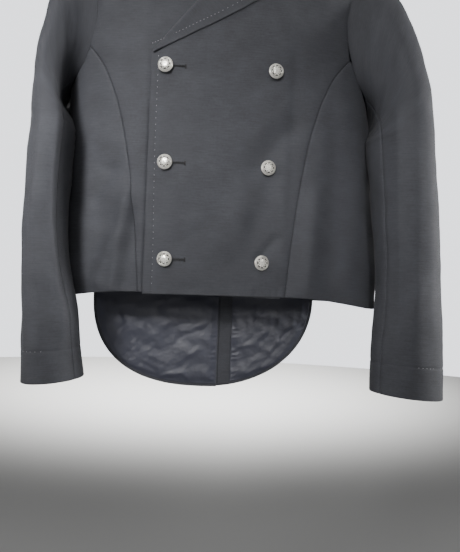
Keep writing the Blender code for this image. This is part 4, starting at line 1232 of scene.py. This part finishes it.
def squared_off(side, along, angle):
    """The cosine and sine round a sleeve. The right one is flattened at its inner front."""

    def between(value, rising, falling):
        return ease(value, *rising) * ease(value, *falling)

    cosine, sine = np.cos(angle), np.sin(angle)
    inner_front = (cosine < 0) & (sine > 0)
    share = INNER_CORNER[side] * between(along, *INNER_CORNER_ALONG)
    power = 1 - np.where(inner_front, share, 0.0)
    window = between(np.degrees(angle % (2 * math.pi)), INNER_DRAW_FRONT, INNER_DRAW_BACK)
    drawn = 1 - INNER_DRAW[side] * window * between(along, *INNER_DRAW_ALONG)
    return signed_power(cosine, power) * drawn, signed_power(sine, power) * drawn


def sleeve_form(side, along, angle):
    """Points of a sleeve's outer skin before its creases."""
    along, angle = np.broadcast_arrays(along, angle)
    middle, forward, half_width, half_depth = curves(SLEEVES[side])
    first = SLEEVES[side][0].height
    cosine, sine = squared_off(side, along, angle)

    z = first - hang_length(side) * np.maximum(0, along - 1)
    tilt = CUFF_TILT * ease(along, 1.6, 2.0)
    free = np.stack([side * (middle(z) + half_width(z) * cosine),
                     -forward(z) - half_depth(z) * sine, z - tilt * cosine], axis=-1)

    top_middle = np.array([side * middle(first), -forward(first), first])
    reach = np.array([side * half_width(first), 0, 0])
    shoulder, armpit = oval_points(np.full(2, side * math.pi / 2), np.array([SHOULDER_END, ARMPIT]))

    def bent(head, bend, foot, k):
        leaving, arriving = (np.array((side * x, -y, z)) for x, y, z in bend)
        out = head * (1 - k) ** 3 + leaving * 3 * k * (1 - k) ** 2
        return out + arriving * 3 * k * k * (1 - k) + foot * k**3

    def planar(k):
        top = bent(shoulder, OUTER_BEND[side], top_middle + reach, k)
        under = bent(armpit, UNDER_BEND[side], top_middle - reach, k)
        depth = mixed(ARMHOLE_HALF_DEPTH, half_depth(first), ease(k, 0, 1))
        across = (top - under) / 2 * cosine[..., None]
        return (top + under) / 2 + across - np.array((0, 1, 0)) * depth * sine[..., None]

    k = np.minimum(along, 1)[..., None]
    turn, height = armhole_at(angle)
    seat = oval_points(side * mixed(math.pi / 2, turn, ARMHOLE_FLARE),
                       mixed(ARMHOLE_MIDDLE, height, ARMHOLE_FLARE))
    full = UNDERARM_FULLNESS[side] * k[..., 0] * (1 - k[..., 0]) ** 2 / FULLEST_SHARE
    head = planar(k) + (seat - planar(0 * k)) * (1 - k) ** 2
    head[..., 0] += side * full * (1 - cosine) / 2

    points = np.where(along[..., None] >= 1, free, head)
    seated = SEAT_CLEARANCE + CAP_RISE * np.maximum(0, cosine) ** 4
    return clear_of_body(points, mixed(seated, SLEEVE_CLEARANCE, ease(along, 0, ON_THE_BODY)))


def sleeve_normals(side, along, angle):
    step = NORMAL_STEP
    across = sleeve_form(side, along, angle + step) - sleeve_form(side, along, angle - step)
    down = sleeve_form(side, np.minimum(2, along + step), angle)
    down = down - sleeve_form(side, np.maximum(0, along - step), angle)
    return unit(np.cross(across, down)) * side


def sleeve_creased(side, along, angle):
    total = np.zeros(along.shape)
    for crease in SLEEVE_CREASES[side]:
        head, foot = math.radians(crease.angle_head), math.radians(crease.angle_foot)
        u = ((angle - head + math.pi) % (2 * math.pi) - math.pi) * SLEEVE_RADIUS
        v = (along - crease.along_head) * SLEEVE_REACH
        run_v = (crease.along_foot - crease.along_head) * SLEEVE_REACH
        across, past = beside_run(u, v, (foot - head) * SLEEVE_RADIUS, run_v)
        total += crease.out * bump(across, crease.half_breadth) * bump(past, SLEEVE_CREASE_FADE)
    return total


def on_sleeve(side, along, angle, out=0.0):
    """Points on a sleeve's outer skin with its creases, and the directions out of it."""
    along, angle = np.broadcast_arrays(np.asarray(along, float), np.asarray(angle, float))
    normal = sleeve_normals(side, along, angle)
    free = ease(along, 0.05, 0.25) * (1 - 0.5 * ease(along, 1.8, 2.0))
    wave = waved(angle * SLEEVE_RADIUS + 0.4 * side, along * SLEEVE_REACH)
    height = (sleeve_creased(side, along, angle) + wave) * free + out
    return sleeve_form(side, along, angle) + normal * height[..., None], normal


def make_sleeve_part(side, part, first_angle, last_angle, finishes):
    """The part of a sleeve between two of its long seams."""
    half_gap = SEAM_GAP / 2 / SLEEVE_RADIUS
    first_angle, last_angle = first_angle + half_gap, last_angle - half_gap
    width, length = (last_angle - first_angle) * SLEEVE_RADIUS, 2 * SLEEVE_REACH
    hem_line = length - CUFF_HEM[side] * 0.88
    along = 2 * spread(length, fine=(hem_line - 0.006, hem_line + 0.006))
    angle = mixed(first_angle, last_angle, spread(width))
    along, angle = np.meshgrid(along, angle, indexing="ij")
    points, normal = on_sleeve(side, along, angle)
    dip, turned_in, _ = finish_edges(points, CLOTH_WALL, ("start", "end", "bottom"))
    above_hem = (2 - along) * hang_length(side) - CUFF_HEM[side]
    height = dip - CUFF_HEM_DIP * bump(above_hem, CUFF_HEM_BREADTH)
    outer = points + normal * (height - turned_in)[..., None]
    inner = points + normal * (height - CLOTH_WALL + turned_in)[..., None]
    skins = Skins(outer, inner, paired(angle * SLEEVE_RADIUS, -along * SLEEVE_REACH), above_hem > 0)
    sew_cloth(f"{SIDES[side]}_{part}_sleeve", [skins], finishes)


# Threads


def ring_faces(rings, sides):
    """The faces of a closed tube of rings, each of as many points as it has sides."""
    index = np.arange(rings * sides).reshape(rings, sides)
    ahead = np.roll(index, -1, axis=1)
    faces = np.stack([index[:-1], ahead[:-1], ahead[1:], index[1:]], axis=-1).reshape(-1, 4)
    return faces.tolist() + [index[0, ::-1].tolist(), index[-1].tolist()]


def make_threads(name, heads, feet, normals, radius, material, arch):
    """Short runs of thread between pairs of points, each a little arched, as one piece."""
    heads, feet, normals = (np.array(points)[:, None, None] for points in (heads, feet, normals))
    run = unit(feet - heads)
    side = unit(np.cross(normals, run))
    up = np.cross(run, side)
    along, girth = np.array(THREAD_RINGS).T[..., None, None]
    angle = np.linspace(0, 2 * math.pi, THREAD_SIDES, endpoint=False)[:, None]
    middle = mixed(heads, feet, along) + up * arch * 4 * along * (1 - along)
    points = middle + girth * radius * (np.cos(angle) * side + np.sin(angle) * up)
    faces = ring_faces(len(THREAD_RINGS), THREAD_SIDES)
    starts = range(0, points.size // 3, len(THREAD_RINGS) * THREAD_SIDES)
    faces = [[corner + start for corner in face] for start in starts for face in faces]
    mesh = bpy.data.meshes.new(name)
    mesh.from_pydata(points.reshape(-1, 3).tolist(), [], faces)
    return add_piece(name, mesh, [material])


def pick_line(points, normals, pitch, length):
    """Heads, feet and normals of pick stitches a pitch apart along a line on the cloth."""
    path = np.concatenate([points, normals], axis=-1)
    reach = reach_along(path)
    marks = np.arange(pitch / 2, reach[-1], pitch)
    places = at_reach(marks, reach, path)
    middle, normal = places[:, :3], unit(places[:, 3:])
    run = unit(at_reach(marks + 0.001, reach, path)[:, :3] - middle)
    sway = 0.12 * np.sin(np.arange(len(middle)) * 2.4)[:, None] * np.cross(normal, run)
    run = unit(run + sway)
    return middle - run * length / 2, middle + run * length / 2, normal


def make_pick_stitches(sizes, material):
    """Hand stitches a little inside the free edges of the left front and the lapels."""
    z = np.linspace(HEM_MIDDLE + 0.010, BREAK_HEIGHT - 0.004, 300)
    lines = [on_front(pick_x(z), z, pick_groove(pick_x(z), z) + PICK_OUT)]
    for side, roll_start, edge_start in LAPELS:
        k = np.linspace(0.02, 0.97, 200)
        edge = lapel_edge(mixed(edge_start, 1, k))
        inward = unit(roll_line(mixed(roll_start, 1, k)) - edge)
        x, z = (edge + inward * PICK_INSET).T
        turn = turn_at(x, z) * side
        height = front_lift(x * side, z, side) + softness(turn, z) + CLOTH_WALL + LAYER_GAP
        lines.append((body_points(turn, z, height + PICK_OUT), body_normals(turn, z)))

    picks = [pick_line(*line, sizes.stitch_pitch, sizes.stitch_length) for line in lines]
    picks = (np.concatenate(kind) for kind in zip(*picks))
    make_threads("pick_stitches", *picks, PICK_RADIUS, material, PICK_ARCH)


def make_cuff_tacks(material):
    """The few stitches that show along each cuff's hem."""
    tacks = []
    for side, angles in CUFF_TACKS.items():
        along = 2 - CUFF_HEM[side] / hang_length(side)
        for angle in np.radians(angles):
            ends = angle + np.array((-0.5, 0.5)) * TACK_LENGTH / SLEEVE_RADIUS
            points, normal = on_sleeve(side, along, ends, PICK_RADIUS * 0.6 - CUFF_HEM_DIP)
            tacks.append((*points, normal[0]))
    make_threads("cuff_tacks", *zip(*tacks), PICK_RADIUS, material, PICK_ARCH)


def make_buttonholes(material):
    """Worked holes beside the buttons on the edge of the left front, with a bar at the end."""
    stitches = []
    for z, x in BUTTON_ROWS:
        first, last = HOLE_START - x, HOLE_END - x
        lips = {way: (z + way * HOLE_LIP, z + way * HOLE_BREADTH) for way in (-1, 1)}
        for place in np.arange(first, last - 0.0008, HOLE_STITCH_PITCH):
            for way, (lip, rim) in lips.items():
                slant = HOLE_SLANT * math.sin(place * 9000 + way)
                stitches.append((place, lip, place + slant, rim, HOLE_OUT))
        for lip, _ in lips.values():
            for place in np.arange(first, last, HOLE_CORD_PITCH):
                stitches.append((place, lip, place + HOLE_CORD_LENGTH, lip, HOLE_OUT * 1.5))
        for place in last + np.arange(HOLE_BAR_THREADS) * HOLE_STITCH_PITCH * 0.7:
            stitches.append((place, z - HOLE_BAR / 2, place, z + HOLE_BAR / 2, HOLE_OUT * 2.4))
    x_head, z_head, x_foot, z_foot, out = np.array(stitches).T
    heads, normals = on_front(x_head, z_head, out)
    feet = on_front(x_foot, z_foot, out)[0]
    make_threads("buttonholes", heads, feet, normals, HOLE_THREAD, material, HOLE_THREAD * 0.4)


# Buttons


def button_frame(x, z, tilt):
    """A button's seat on the left front, with its axis along the cloth's outward direction."""
    slope = math.sin(math.radians(tilt))
    seat, normal = on_front(x, z, BUTTON_FACE[0].radius * abs(slope))
    outward = Vector(normal)
    across = Vector((0, 0, 1)).cross(outward).normalized()
    up = outward.cross(across)
    outward = (outward + across * slope).normalized()
    across = up.cross(outward).normalized()
    return Matrix.Translation(Vector(seat)) @ Matrix((across, up, outward)).transposed().to_4x4()


def button_relief(within, angle, petals):
    """A rosette in a roped ring, by shares of the button's radius: how far the dome's face
    stands out, from 0 to about 1, and how dark its hollows are painted, for their patina and for
    painted shade in the recesses."""
    petal, leaf = np.abs(np.cos(angle * petals / 2)), np.abs(np.sin(angle * petals / 2))
    length = PETAL_LENGTH + PETAL_LOBE * petal**PETAL_ROUNDNESS
    rosette = ease(within, length + 0.03, length - 0.05) * ease(within, *PETAL_START)
    vein = bump(leaf * within, VEIN_BREADTH) * rosette
    eye = ease(within, *EYE_EDGE)
    tip = bump(within - TIP_PLACE, TIP_BREADTH) * ease(leaf, *TIP_SIDES)
    ring = bump(within - RING_PLACE, RING_BREADTH)
    strands = ROPE_MEAN + ROPE_CHANGE * np.sin(angle * ROPE_TWISTS + within * ROPE_SLANT)
    rope = bump(within - ROPE_PLACE, ROPE_BREADTH) * strands
    raised = np.maximum.reduce([rosette - VEIN_DEPTH * vein, eye, tip, ring, rope])
    # The hollows are painted dark: their patina, and painted shade where the relief sinks in
    patina_and_painted_shade = 1 - np.clip(raised * HOLLOW_SHARPNESS, 0, 1)
    return raised, patina_and_painted_shade * ease(within, *HOLLOW_EDGE)


def make_button(node, place, metal, sizes):
    mesh = bpy.data.meshes.new(node + "_face")
    rings = np.array(BUTTON_FACE)
    reach = reach_along(rings)
    face_start = reach[FACE_STARTS]
    marks = np.r_[reach[:FACE_STARTS], np.linspace(face_start, reach[-1], FACE_RINGS)]
    radius, height = at_reach(marks, reach, rings).T[..., None]
    angle = np.linspace(0, 2 * math.pi, BUTTON_SIDES, endpoint=False)[None]
    on_face = (marks > face_start)[:, None]
    raised, patina_and_painted_shade = button_relief(radius / BUTTON_RADIUS + 0 * angle, angle, sizes.petals)
    height = height + raised * sizes.relief * on_face
    points = np.stack([radius * np.cos(angle), radius * np.sin(angle), height], axis=-1)
    mesh.from_pydata(points.reshape(-1, 3).tolist(), [], ring_faces(len(marks), BUTTON_SIDES))
    # The darkness of the hollows: patina and painted shade in the recesses
    dark = mesh.attributes.new("patina_and_painted_shade", "FLOAT", "POINT")
    dark.data.foreach_set("value", (patina_and_painted_shade * on_face).ravel().astype(np.float32))
    mesh.transform(button_frame(*place))
    piece = add_piece(mesh.name, mesh, [metal])
    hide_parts(node)


# Finishes


class Wire:
    """A shader value. Plain expressions on it add the nodes that work them out."""

    def __init__(self, finish, socket):
        self.finish, self.socket = finish, socket

    def math(self, operation, *others, reflected=False):
        terms = (*others, self) if reflected else (self, *others)
        return self.finish.node("ShaderNodeMath", {"operation": operation}, dict(enumerate(terms)))

    def __add__(self, other):
        return self.math("ADD", other)

    def __rsub__(self, other):
        return self.math("SUBTRACT", other, reflected=True)

    def __mul__(self, other):
        return self.math("MULTIPLY", other)

    __radd__ = __add__
    __rmul__ = __mul__


class Finish:
    """The one shader of a material or a world, and the nodes that vary it."""

    def __init__(self, owner, shader="Principled BSDF"):
        owner.use_nodes = True
        self.owner, self.tree = owner, owner.node_tree
        self.shader = self.tree.nodes[shader]

    def node(self, kind, settings=None, sockets=None, output=0):
        """Any node: its settings are set first, then the values or links of its sockets."""
        added = self.tree.nodes.new(kind)
        for key, value in (settings or {}).items():
            setattr(added, key, value)
        for key, value in (sockets or {}).items():
            self.feed(added.inputs[key], value)
        return Wire(self, added.outputs[output])

    def feed(self, socket, value):
        if isinstance(value, Wire):
            self.tree.links.new(value.socket, socket)
        else:
            socket.default_value = value

    def shade(self, **values):
        """Feeds the shader's sockets, named as they are but with _ for a space."""
        for key, value in values.items():
            self.feed(self.shader.inputs[key.replace("_", " ")], value)
        return self.owner

    def noise(self, scale, detail, place):
        sockets = {"Scale": scale, "Detail": detail, "Vector": place}
        return self.node("ShaderNodeTexNoise", {}, sockets)

    def tinted(self, color, strength):
        """A colour made lighter or darker by a value."""
        sockets = {0: tuple(color), "Scale": strength}
        return self.node("ShaderNodeVectorMath", {"operation": "SCALE"}, sockets)

    def between(self, share, first, second):
        sockets = {0: share, 6: (*first, 1.0), 7: (*second, 1.0)}
        return self.node("ShaderNodeMix", {"data_type": "RGBA"}, sockets, output=2)

    def bump(self, height):
        """A bump from heights in metres."""
        return self.node("ShaderNodeBump", {}, {"Strength": 1.0, "Distance": 1.0, "Height": height})

    def along_cut(self, turn=0.0, stretch=(1.0, 1.0)):
        """Flat places on the cut cloth, in metres, turned and scaled."""
        cut = self.node("ShaderNodeUVMap", {"uv_map": "cut"})
        sockets = {"Vector": cut, "Rotation": (0, 0, turn), "Scale": (*stretch, 1.0)}
        return self.node("ShaderNodeMapping", {}, sockets)

    def ribs(self, pitch, degrees):
        """A wave from -1 to 1 across the threads, at a pitch in metres."""
        cut = self.along_cut(math.radians(degrees))
        place = self.node("ShaderNodeSeparateXYZ", {}, {0: cut})
        return (place * (2 * math.pi / pitch)).math("SINE")

    def object_place(self):
        return self.node("ShaderNodeTexCoord", output="Object")


def wool_finish(material, sizes):
    """A smooth, tightly woven charcoal wool with a fine diagonal and a soft sheen."""
    finish = Finish(material)
    twill = finish.ribs(sizes.weave_pitch, 35)
    weft = finish.ribs(sizes.weave_pitch * 0.8, -52)
    slub = finish.noise(1.0, 2.0, finish.along_cut(0.0, (55, 820)))
    mottle = finish.noise(320, 3.0, finish.along_cut())
    cloudy = finish.noise(34, 2.0, finish.along_cut())
    strength = 0.17 + mottle * 0.52 + slub * 0.62 + cloudy * 0.52 + twill * 0.06
    finish.shade(
        Base_Color=finish.tinted(sizes.cloth_color, strength),
        Roughness=0.66 + mottle * 0.16,
        Normal=finish.bump(twill * 0.000022 + weft * 0.000012 + slub * 0.00006 + mottle * 0.00005),
        Sheen_Weight=sizes.sheen,
        Sheen_Roughness=0.35,
        Specular_IOR_Level=0.35,
    )


def satin_finish(material, sizes):
    """A thin satin lining whose floats run round the body."""
    finish = Finish(material)
    floats = finish.noise(1.0, 3.0, finish.along_cut(0.0, (260, 2600)))
    cloudy = finish.noise(60, 2.0, finish.along_cut())
    fine = finish.noise(900, 1.0, finish.along_cut())
    rumpled = finish.noise(38, 1.5, finish.along_cut())
    height = floats * 0.00005 + cloudy * 0.0009 + rumpled * 0.0020 + fine * 0.00003
    finish.shade(
        Base_Color=finish.tinted(sizes.lining_color, 0.74 + floats * 0.30 + cloudy * 0.22),
        Roughness=0.34 + floats * 0.12 + cloudy * 0.10,
        Normal=finish.bump(height),
        Specular_IOR_Level=0.50,
    )


def metal_finish(material, sizes):
    """Polished white metal, darkened in the hollows of its relief by its patina and by painted
    shade in the recesses.
    """
    finish = Finish(material)
    patina_and_painted_shade = finish.node("ShaderNodeAttribute", {"attribute_name": "patina_and_painted_shade"}, output="Fac")
    grime = finish.noise(900, 3.0, finish.object_place())
    scuffs = finish.noise(2600, 2.0, finish.object_place())
    # Painted shade and patina in the relief's hollows, made unevenly speckled
    dark = (patina_and_painted_shade * (0.70 + grime * 0.80)).math("MINIMUM", 1.0)
    finish.shade(
        Base_Color=finish.between(dark, sizes.metal_color, sizes.patina_and_shade_color),
        Metallic=0.62 - dark * 0.30,
        Roughness=0.22 + dark * 0.30 + grime * 0.08,
        Normal=finish.bump(scuffs * 0.000006 + grime * 0.00001),
    )


def thread_finish(material, color, roughness):
    """Twisted thread."""
    finish = Finish(material)
    fuzz = finish.noise(5200, 2.0, finish.object_place())
    ply = finish.noise(1500, 1.0, finish.object_place())
    finish.shade(
        Base_Color=finish.tinted(color, 0.72 + fuzz * 0.34 + ply * 0.22),
        Roughness=roughness + fuzz * 0.15,
        Normal=finish.bump(fuzz * 0.00004 + ply * 0.00006),
        Sheen_Weight=0.05,
    )


def floor_finish(material, sizes):
    finish = Finish(material)
    broad = finish.noise(0.7, 3.0, finish.object_place())
    fine = finish.noise(40, 2.0, finish.object_place())
    finish.shade(
        Base_Color=finish.tinted(sizes.floor_color, 0.97 + broad * 0.04 + fine * 0.02),
        Roughness=0.75 + fine * 0.1,
    )


def finish_of(name, make, *values):
    """The material of this name, made once."""
    material = bpy.data.materials.get(name)
    if not material:
        material = bpy.data.materials.new(name)
        make(material, *values)
    return material


def cloth_finishes(context):
    """The wool and the lining, in the order of the cloth's faces."""
    sizes = context.scene.jacket_cloth
    return [finish_of("wool", wool_finish, sizes), finish_of("lining_satin", satin_finish, sizes)]


# The sizes and colours that a user would change

COLOR = {"size": 3, "subtype": "COLOR", "min": 0, "max": 1}


class JacketClothSizes(bpy.types.PropertyGroup):
    cloth_color: bpy.props.FloatVectorProperty(
        name="Cloth colour", description="Colour of the wool",
        default=(0.0435, 0.045, 0.053), **COLOR,
    )
    sheen: bpy.props.FloatProperty(
        name="Sheen", description="Strength of the wool's soft sheen", subtype="FACTOR",
        min=0, max=1, default=0.05,
    )
    weave_pitch: bpy.props.FloatProperty(
        name="Weave pitch", description="Distance between the twill's diagonals", unit="LENGTH",
        min=0.0002, max=0.003, precision=5, default=0.00055,
    )
    lining_color: bpy.props.FloatVectorProperty(
        name="Lining colour", description="Colour of the satin lining",
        default=(0.032, 0.034, 0.051), **COLOR,
    )


class JacketTrimSizes(bpy.types.PropertyGroup):
    metal_color: bpy.props.FloatVectorProperty(
        name="Metal colour", description="Colour of the buttons' polished metal",
        default=(1.0, 0.98, 0.9), **COLOR,
    # The dark colour of the hollows stands for patina and for painted shade in the recesses
    )
    patina_and_shade_color: bpy.props.FloatVectorProperty(
        name="Patina colour", description="Colour in the hollows of the buttons",
        default=(0.03, 0.028, 0.026), **COLOR,
    )
    petals: bpy.props.IntProperty(
        name="Petals", description="Petals of the rosette on a button", min=4, max=16, default=8,
    )
    relief: bpy.props.FloatProperty(
        name="Relief", description="Height of the rosette on a button", unit="LENGTH",
        min=0, max=0.001, precision=5, default=0.00048,
    )
    thread_color: bpy.props.FloatVectorProperty(
        name="Thread colour", description="Colour of the pick stitches",
        default=(0.34, 0.345, 0.36), **COLOR,
    )
    hole_color: bpy.props.FloatVectorProperty(
        name="Buttonhole colour", description="Colour of the buttonholes' thread",
        default=(0.01, 0.01, 0.012), **COLOR,
    )
    stitch_length: bpy.props.FloatProperty(
        name="Stitch length", description="Length of a pick stitch", unit="LENGTH",
        min=0.0005, max=0.005, precision=5, default=0.0016,
    )
    stitch_pitch: bpy.props.FloatProperty(
        name="Stitch pitch", description="Distance between pick stitches", unit="LENGTH",
        min=0.002, max=0.02, precision=4, default=0.0085,
    )


class JacketStageSizes(bpy.types.PropertyGroup):
    floor_color: bpy.props.FloatVectorProperty(
        name="Floor colour", description="Colour of the plain floor", default=(0.72, 0.72, 0.71),
        **COLOR,
    )
    light_strength: bpy.props.FloatProperty(
        name="Light strength", description="Strength of the soft studio lights", min=0, max=10,
        default=1.0,
    )
    lens: bpy.props.FloatProperty(
        name="Lens", description="Focal length of the camera, in millimetres", min=10, max=200,
        default=39.65,
    )


# Operators, one for each group of like pieces and one for the stage


class JACKET_OT_fronts(bpy.types.Operator):
    """Makes the two overlapping fronts"""

    bl_idname = "jacket.fronts"
    bl_label = "Fronts"

    def execute(self, context):
        for side in SIDES:
            make_front(side, cloth_finishes(context))
        return {"FINISHED"}


class JACKET_OT_side_fronts(bpy.types.Operator):
    """Makes the panels under the armholes"""

    bl_idname = "jacket.side_fronts"
    bl_label = "Side fronts"

    def execute(self, context):
        for side in SIDES:
            make_side_front(side, cloth_finishes(context))
        return {"FINISHED"}


class JACKET_OT_backs(bpy.types.Operator):
    """Makes the halves of the back with their tails"""

    bl_idname = "jacket.backs"
    bl_label = "Backs and tails"

    def execute(self, context):
        for side in SIDES:
            make_back(side, cloth_finishes(context))
        return {"FINISHED"}


class JACKET_OT_tail_insides(bpy.types.Operator):
    """Makes the tails' satin lining and the facing of the vent"""

    bl_idname = "jacket.tail_insides"
    bl_label = "Tail lining and vent facing"

    def execute(self, context):
        cloth, lining = cloth_finishes(context)
        make_tail_insides(lining, cloth)
        return {"FINISHED"}


class JACKET_OT_lapels_and_collar(bpy.types.Operator):
    """Makes the peak lapels and the collar"""

    bl_idname = "jacket.lapels_and_collar"
    bl_label = "Lapels and collar"

    def execute(self, context):
        for side, roll_start, edge_start in LAPELS:
            make_lapel(side, cloth_finishes(context), roll_start, edge_start)
        make_collar(cloth_finishes(context))
        return {"FINISHED"}


class JACKET_OT_sleeves(bpy.types.Operator):
    """Makes the two-piece sleeves"""

    bl_idname = "jacket.sleeves"
    bl_label = "Sleeves"

    def execute(self, context):
        for side in SIDES:
            finishes = cloth_finishes(context)
            front, back = SLEEVE_FRONT_SEAM, SLEEVE_BACK_SEAM
            make_sleeve_part(side, "top", back, front, finishes)
            make_sleeve_part(side, "under", front, 2 * math.pi + back, finishes)
        return {"FINISHED"}


class JACKET_OT_buttons(bpy.types.Operator):
    """Makes the domed metal buttons"""

    bl_idname = "jacket.buttons"
    bl_label = "Buttons"

    def execute(self, context):
        sizes = context.scene.jacket_trim
        metal = finish_of("button_metal", metal_finish, sizes)
        for row, (z, x) in enumerate(BUTTON_ROWS):
            for side in SIDES:
                place = side * x, z, BUTTON_TILT[side][row]
                make_button(f"button_{SIDES[side]}_{row + 1}", place, metal, sizes)
        return {"FINISHED"}


class JACKET_OT_buttonholes(bpy.types.Operator):
    """Makes the worked buttonholes"""

    bl_idname = "jacket.buttonholes"
    bl_label = "Buttonholes"

    def execute(self, context):
        color = context.scene.jacket_trim.hole_color
        make_buttonholes(finish_of("buttonhole_thread", thread_finish, color, 0.6))
        return {"FINISHED"}


class JACKET_OT_stitches(bpy.types.Operator):
    """Makes the pick stitches of the edges and the stitches of the cuffs"""

    bl_idname = "jacket.stitches"
    bl_label = "Stitches"

    def execute(self, context):
        sizes = context.scene.jacket_trim
        thread = finish_of("pick_thread", thread_finish, sizes.thread_color, 0.55)
        make_pick_stitches(sizes, thread)
        make_cuff_tacks(thread)
        return {"FINISHED"}


class JACKET_OT_stage(bpy.types.Operator):
    """Makes the floor, the lights and the camera"""

    bl_idname = "jacket.stage"
    bl_label = "Stage"

    def execute(self, context):
        sizes = context.scene.jacket_stage
        make_floor(sizes)
        make_lights(sizes.light_strength)
        make_world(context.scene, sizes.light_strength)
        make_camera(context.scene, sizes.lens)
        return {"FINISHED"}


def add_to_stage(name, data, place=(0, 0, 0)):
    added = bpy.data.objects.new(name, data)
    added.location = place
    bpy.context.scene.collection.objects.link(added)
    return added


def make_floor(sizes):
    """A wide plain disc under the jacket."""
    angle = np.linspace(0, 2 * math.pi, FLOOR_SIDES, endpoint=False)
    points = FLOOR_RADIUS * paired(np.cos(angle), np.sin(angle))
    mesh = bpy.data.meshes.new("floor")
    mesh.from_pydata([(x, y, FLOOR_HEIGHT) for x, y in points.tolist()], [], [range(FLOOR_SIDES)])
    mesh.materials.append(finish_of("floor", floor_finish, sizes))
    add_to_stage("floor", mesh)


def make_lights(strength):
    """Soft lights that fade towards the edges of their cones, and one broad softbox."""
    for row in STAGE_LIGHTS:
        light = bpy.data.lights.new(row.name, "SPOT" if row.cone else "AREA")
        light.energy, light.color = row.energy * strength, LIGHT_COLOR
        if row.cone:
            light.shadow_soft_size = row.size
            light.spot_size, light.spot_blend = math.radians(row.cone), 1.0
        else:
            light.size = row.size
        lamp = add_to_stage(row.name, light, row.place)
        direction = Vector(row.aim) - Vector(row.place)
        lamp.rotation_euler = direction.to_track_quat("-Z", "Y").to_euler()


def make_world(scene, strength):
    """Pale soft light from all round, and a paler look where nothing stands behind the jacket."""
    scene.world = bpy.data.worlds.new("studio")
    finish = Finish(scene.world, "Background")
    seen = finish.node("ShaderNodeLightPath", output="Is Camera Ray")
    more = (BACKDROP_STRENGTH - WORLD_STRENGTH) * strength
    finish.shade(Color=(*WORLD_COLOR, 1.0), Strength=WORLD_STRENGTH * strength + seen * more)


def make_camera(scene, lens):
    camera = bpy.data.cameras.new("camera")
    camera.sensor_width, camera.lens, camera.clip_start = SENSOR_WIDTH, lens, 0.02
    scene.camera = add_to_stage("camera", camera, CAMERA_PLACE)
    level = Euler((math.radians(90), 0, math.radians(CAMERA_PAN))).to_matrix()
    turned_camera = level @ Matrix.Rotation(math.radians(CAMERA_ROLL), 3, "Z")
    scene.camera.rotation_euler = turned_camera.to_euler()


OPERATORS = (
    JACKET_OT_fronts, JACKET_OT_side_fronts, JACKET_OT_backs, JACKET_OT_tail_insides,
    JACKET_OT_lapels_and_collar, JACKET_OT_sleeves, JACKET_OT_buttons, JACKET_OT_buttonholes,
    JACKET_OT_stitches, JACKET_OT_stage,
)
SETTINGS = {
    "jacket_cloth": JacketClothSizes,
    "jacket_trim": JacketTrimSizes,
    "jacket_stage": JacketStageSizes,
}


class JACKET_PT_pieces(bpy.types.Panel):
    """The jacket's sizes and the buttons that make its pieces"""

    bl_idname = "JACKET_PT_pieces"
    bl_label = "Jacket"
    bl_space_type = "VIEW_3D"
    bl_region_type = "UI"
    bl_category = "Jacket"

    def draw(self, context):
        for name in SETTINGS:
            settings = getattr(context.scene, name)
            column = self.layout.column(align=True)
            for key in settings.__annotations__:
                column.prop(settings, key)
        for operator in OPERATORS:
            self.layout.operator(operator.bl_idname)


CLASSES = (*SETTINGS.values(), *OPERATORS, JACKET_PT_pieces)


def register():
    for kind in CLASSES:
        bpy.utils.register_class(kind)
    for name, kind in SETTINGS.items():
        setattr(bpy.types.Scene, name, bpy.props.PointerProperty(type=kind))


def unregister():
    for name in SETTINGS:
        delattr(bpy.types.Scene, name)
    for kind in reversed(CLASSES):
        bpy.utils.unregister_class(kind)


def main():
    register()
    bpy.ops.jacket.fronts()
    bpy.ops.jacket.side_fronts()
    bpy.ops.jacket.backs()
    bpy.ops.jacket.tail_insides()
    bpy.ops.jacket.lapels_and_collar()
    bpy.ops.jacket.sleeves()
    bpy.ops.jacket.buttons()
    bpy.ops.jacket.buttonholes()
    bpy.ops.jacket.stitches()
    bpy.ops.jacket.stage()


if __name__ == "__main__":
    main()
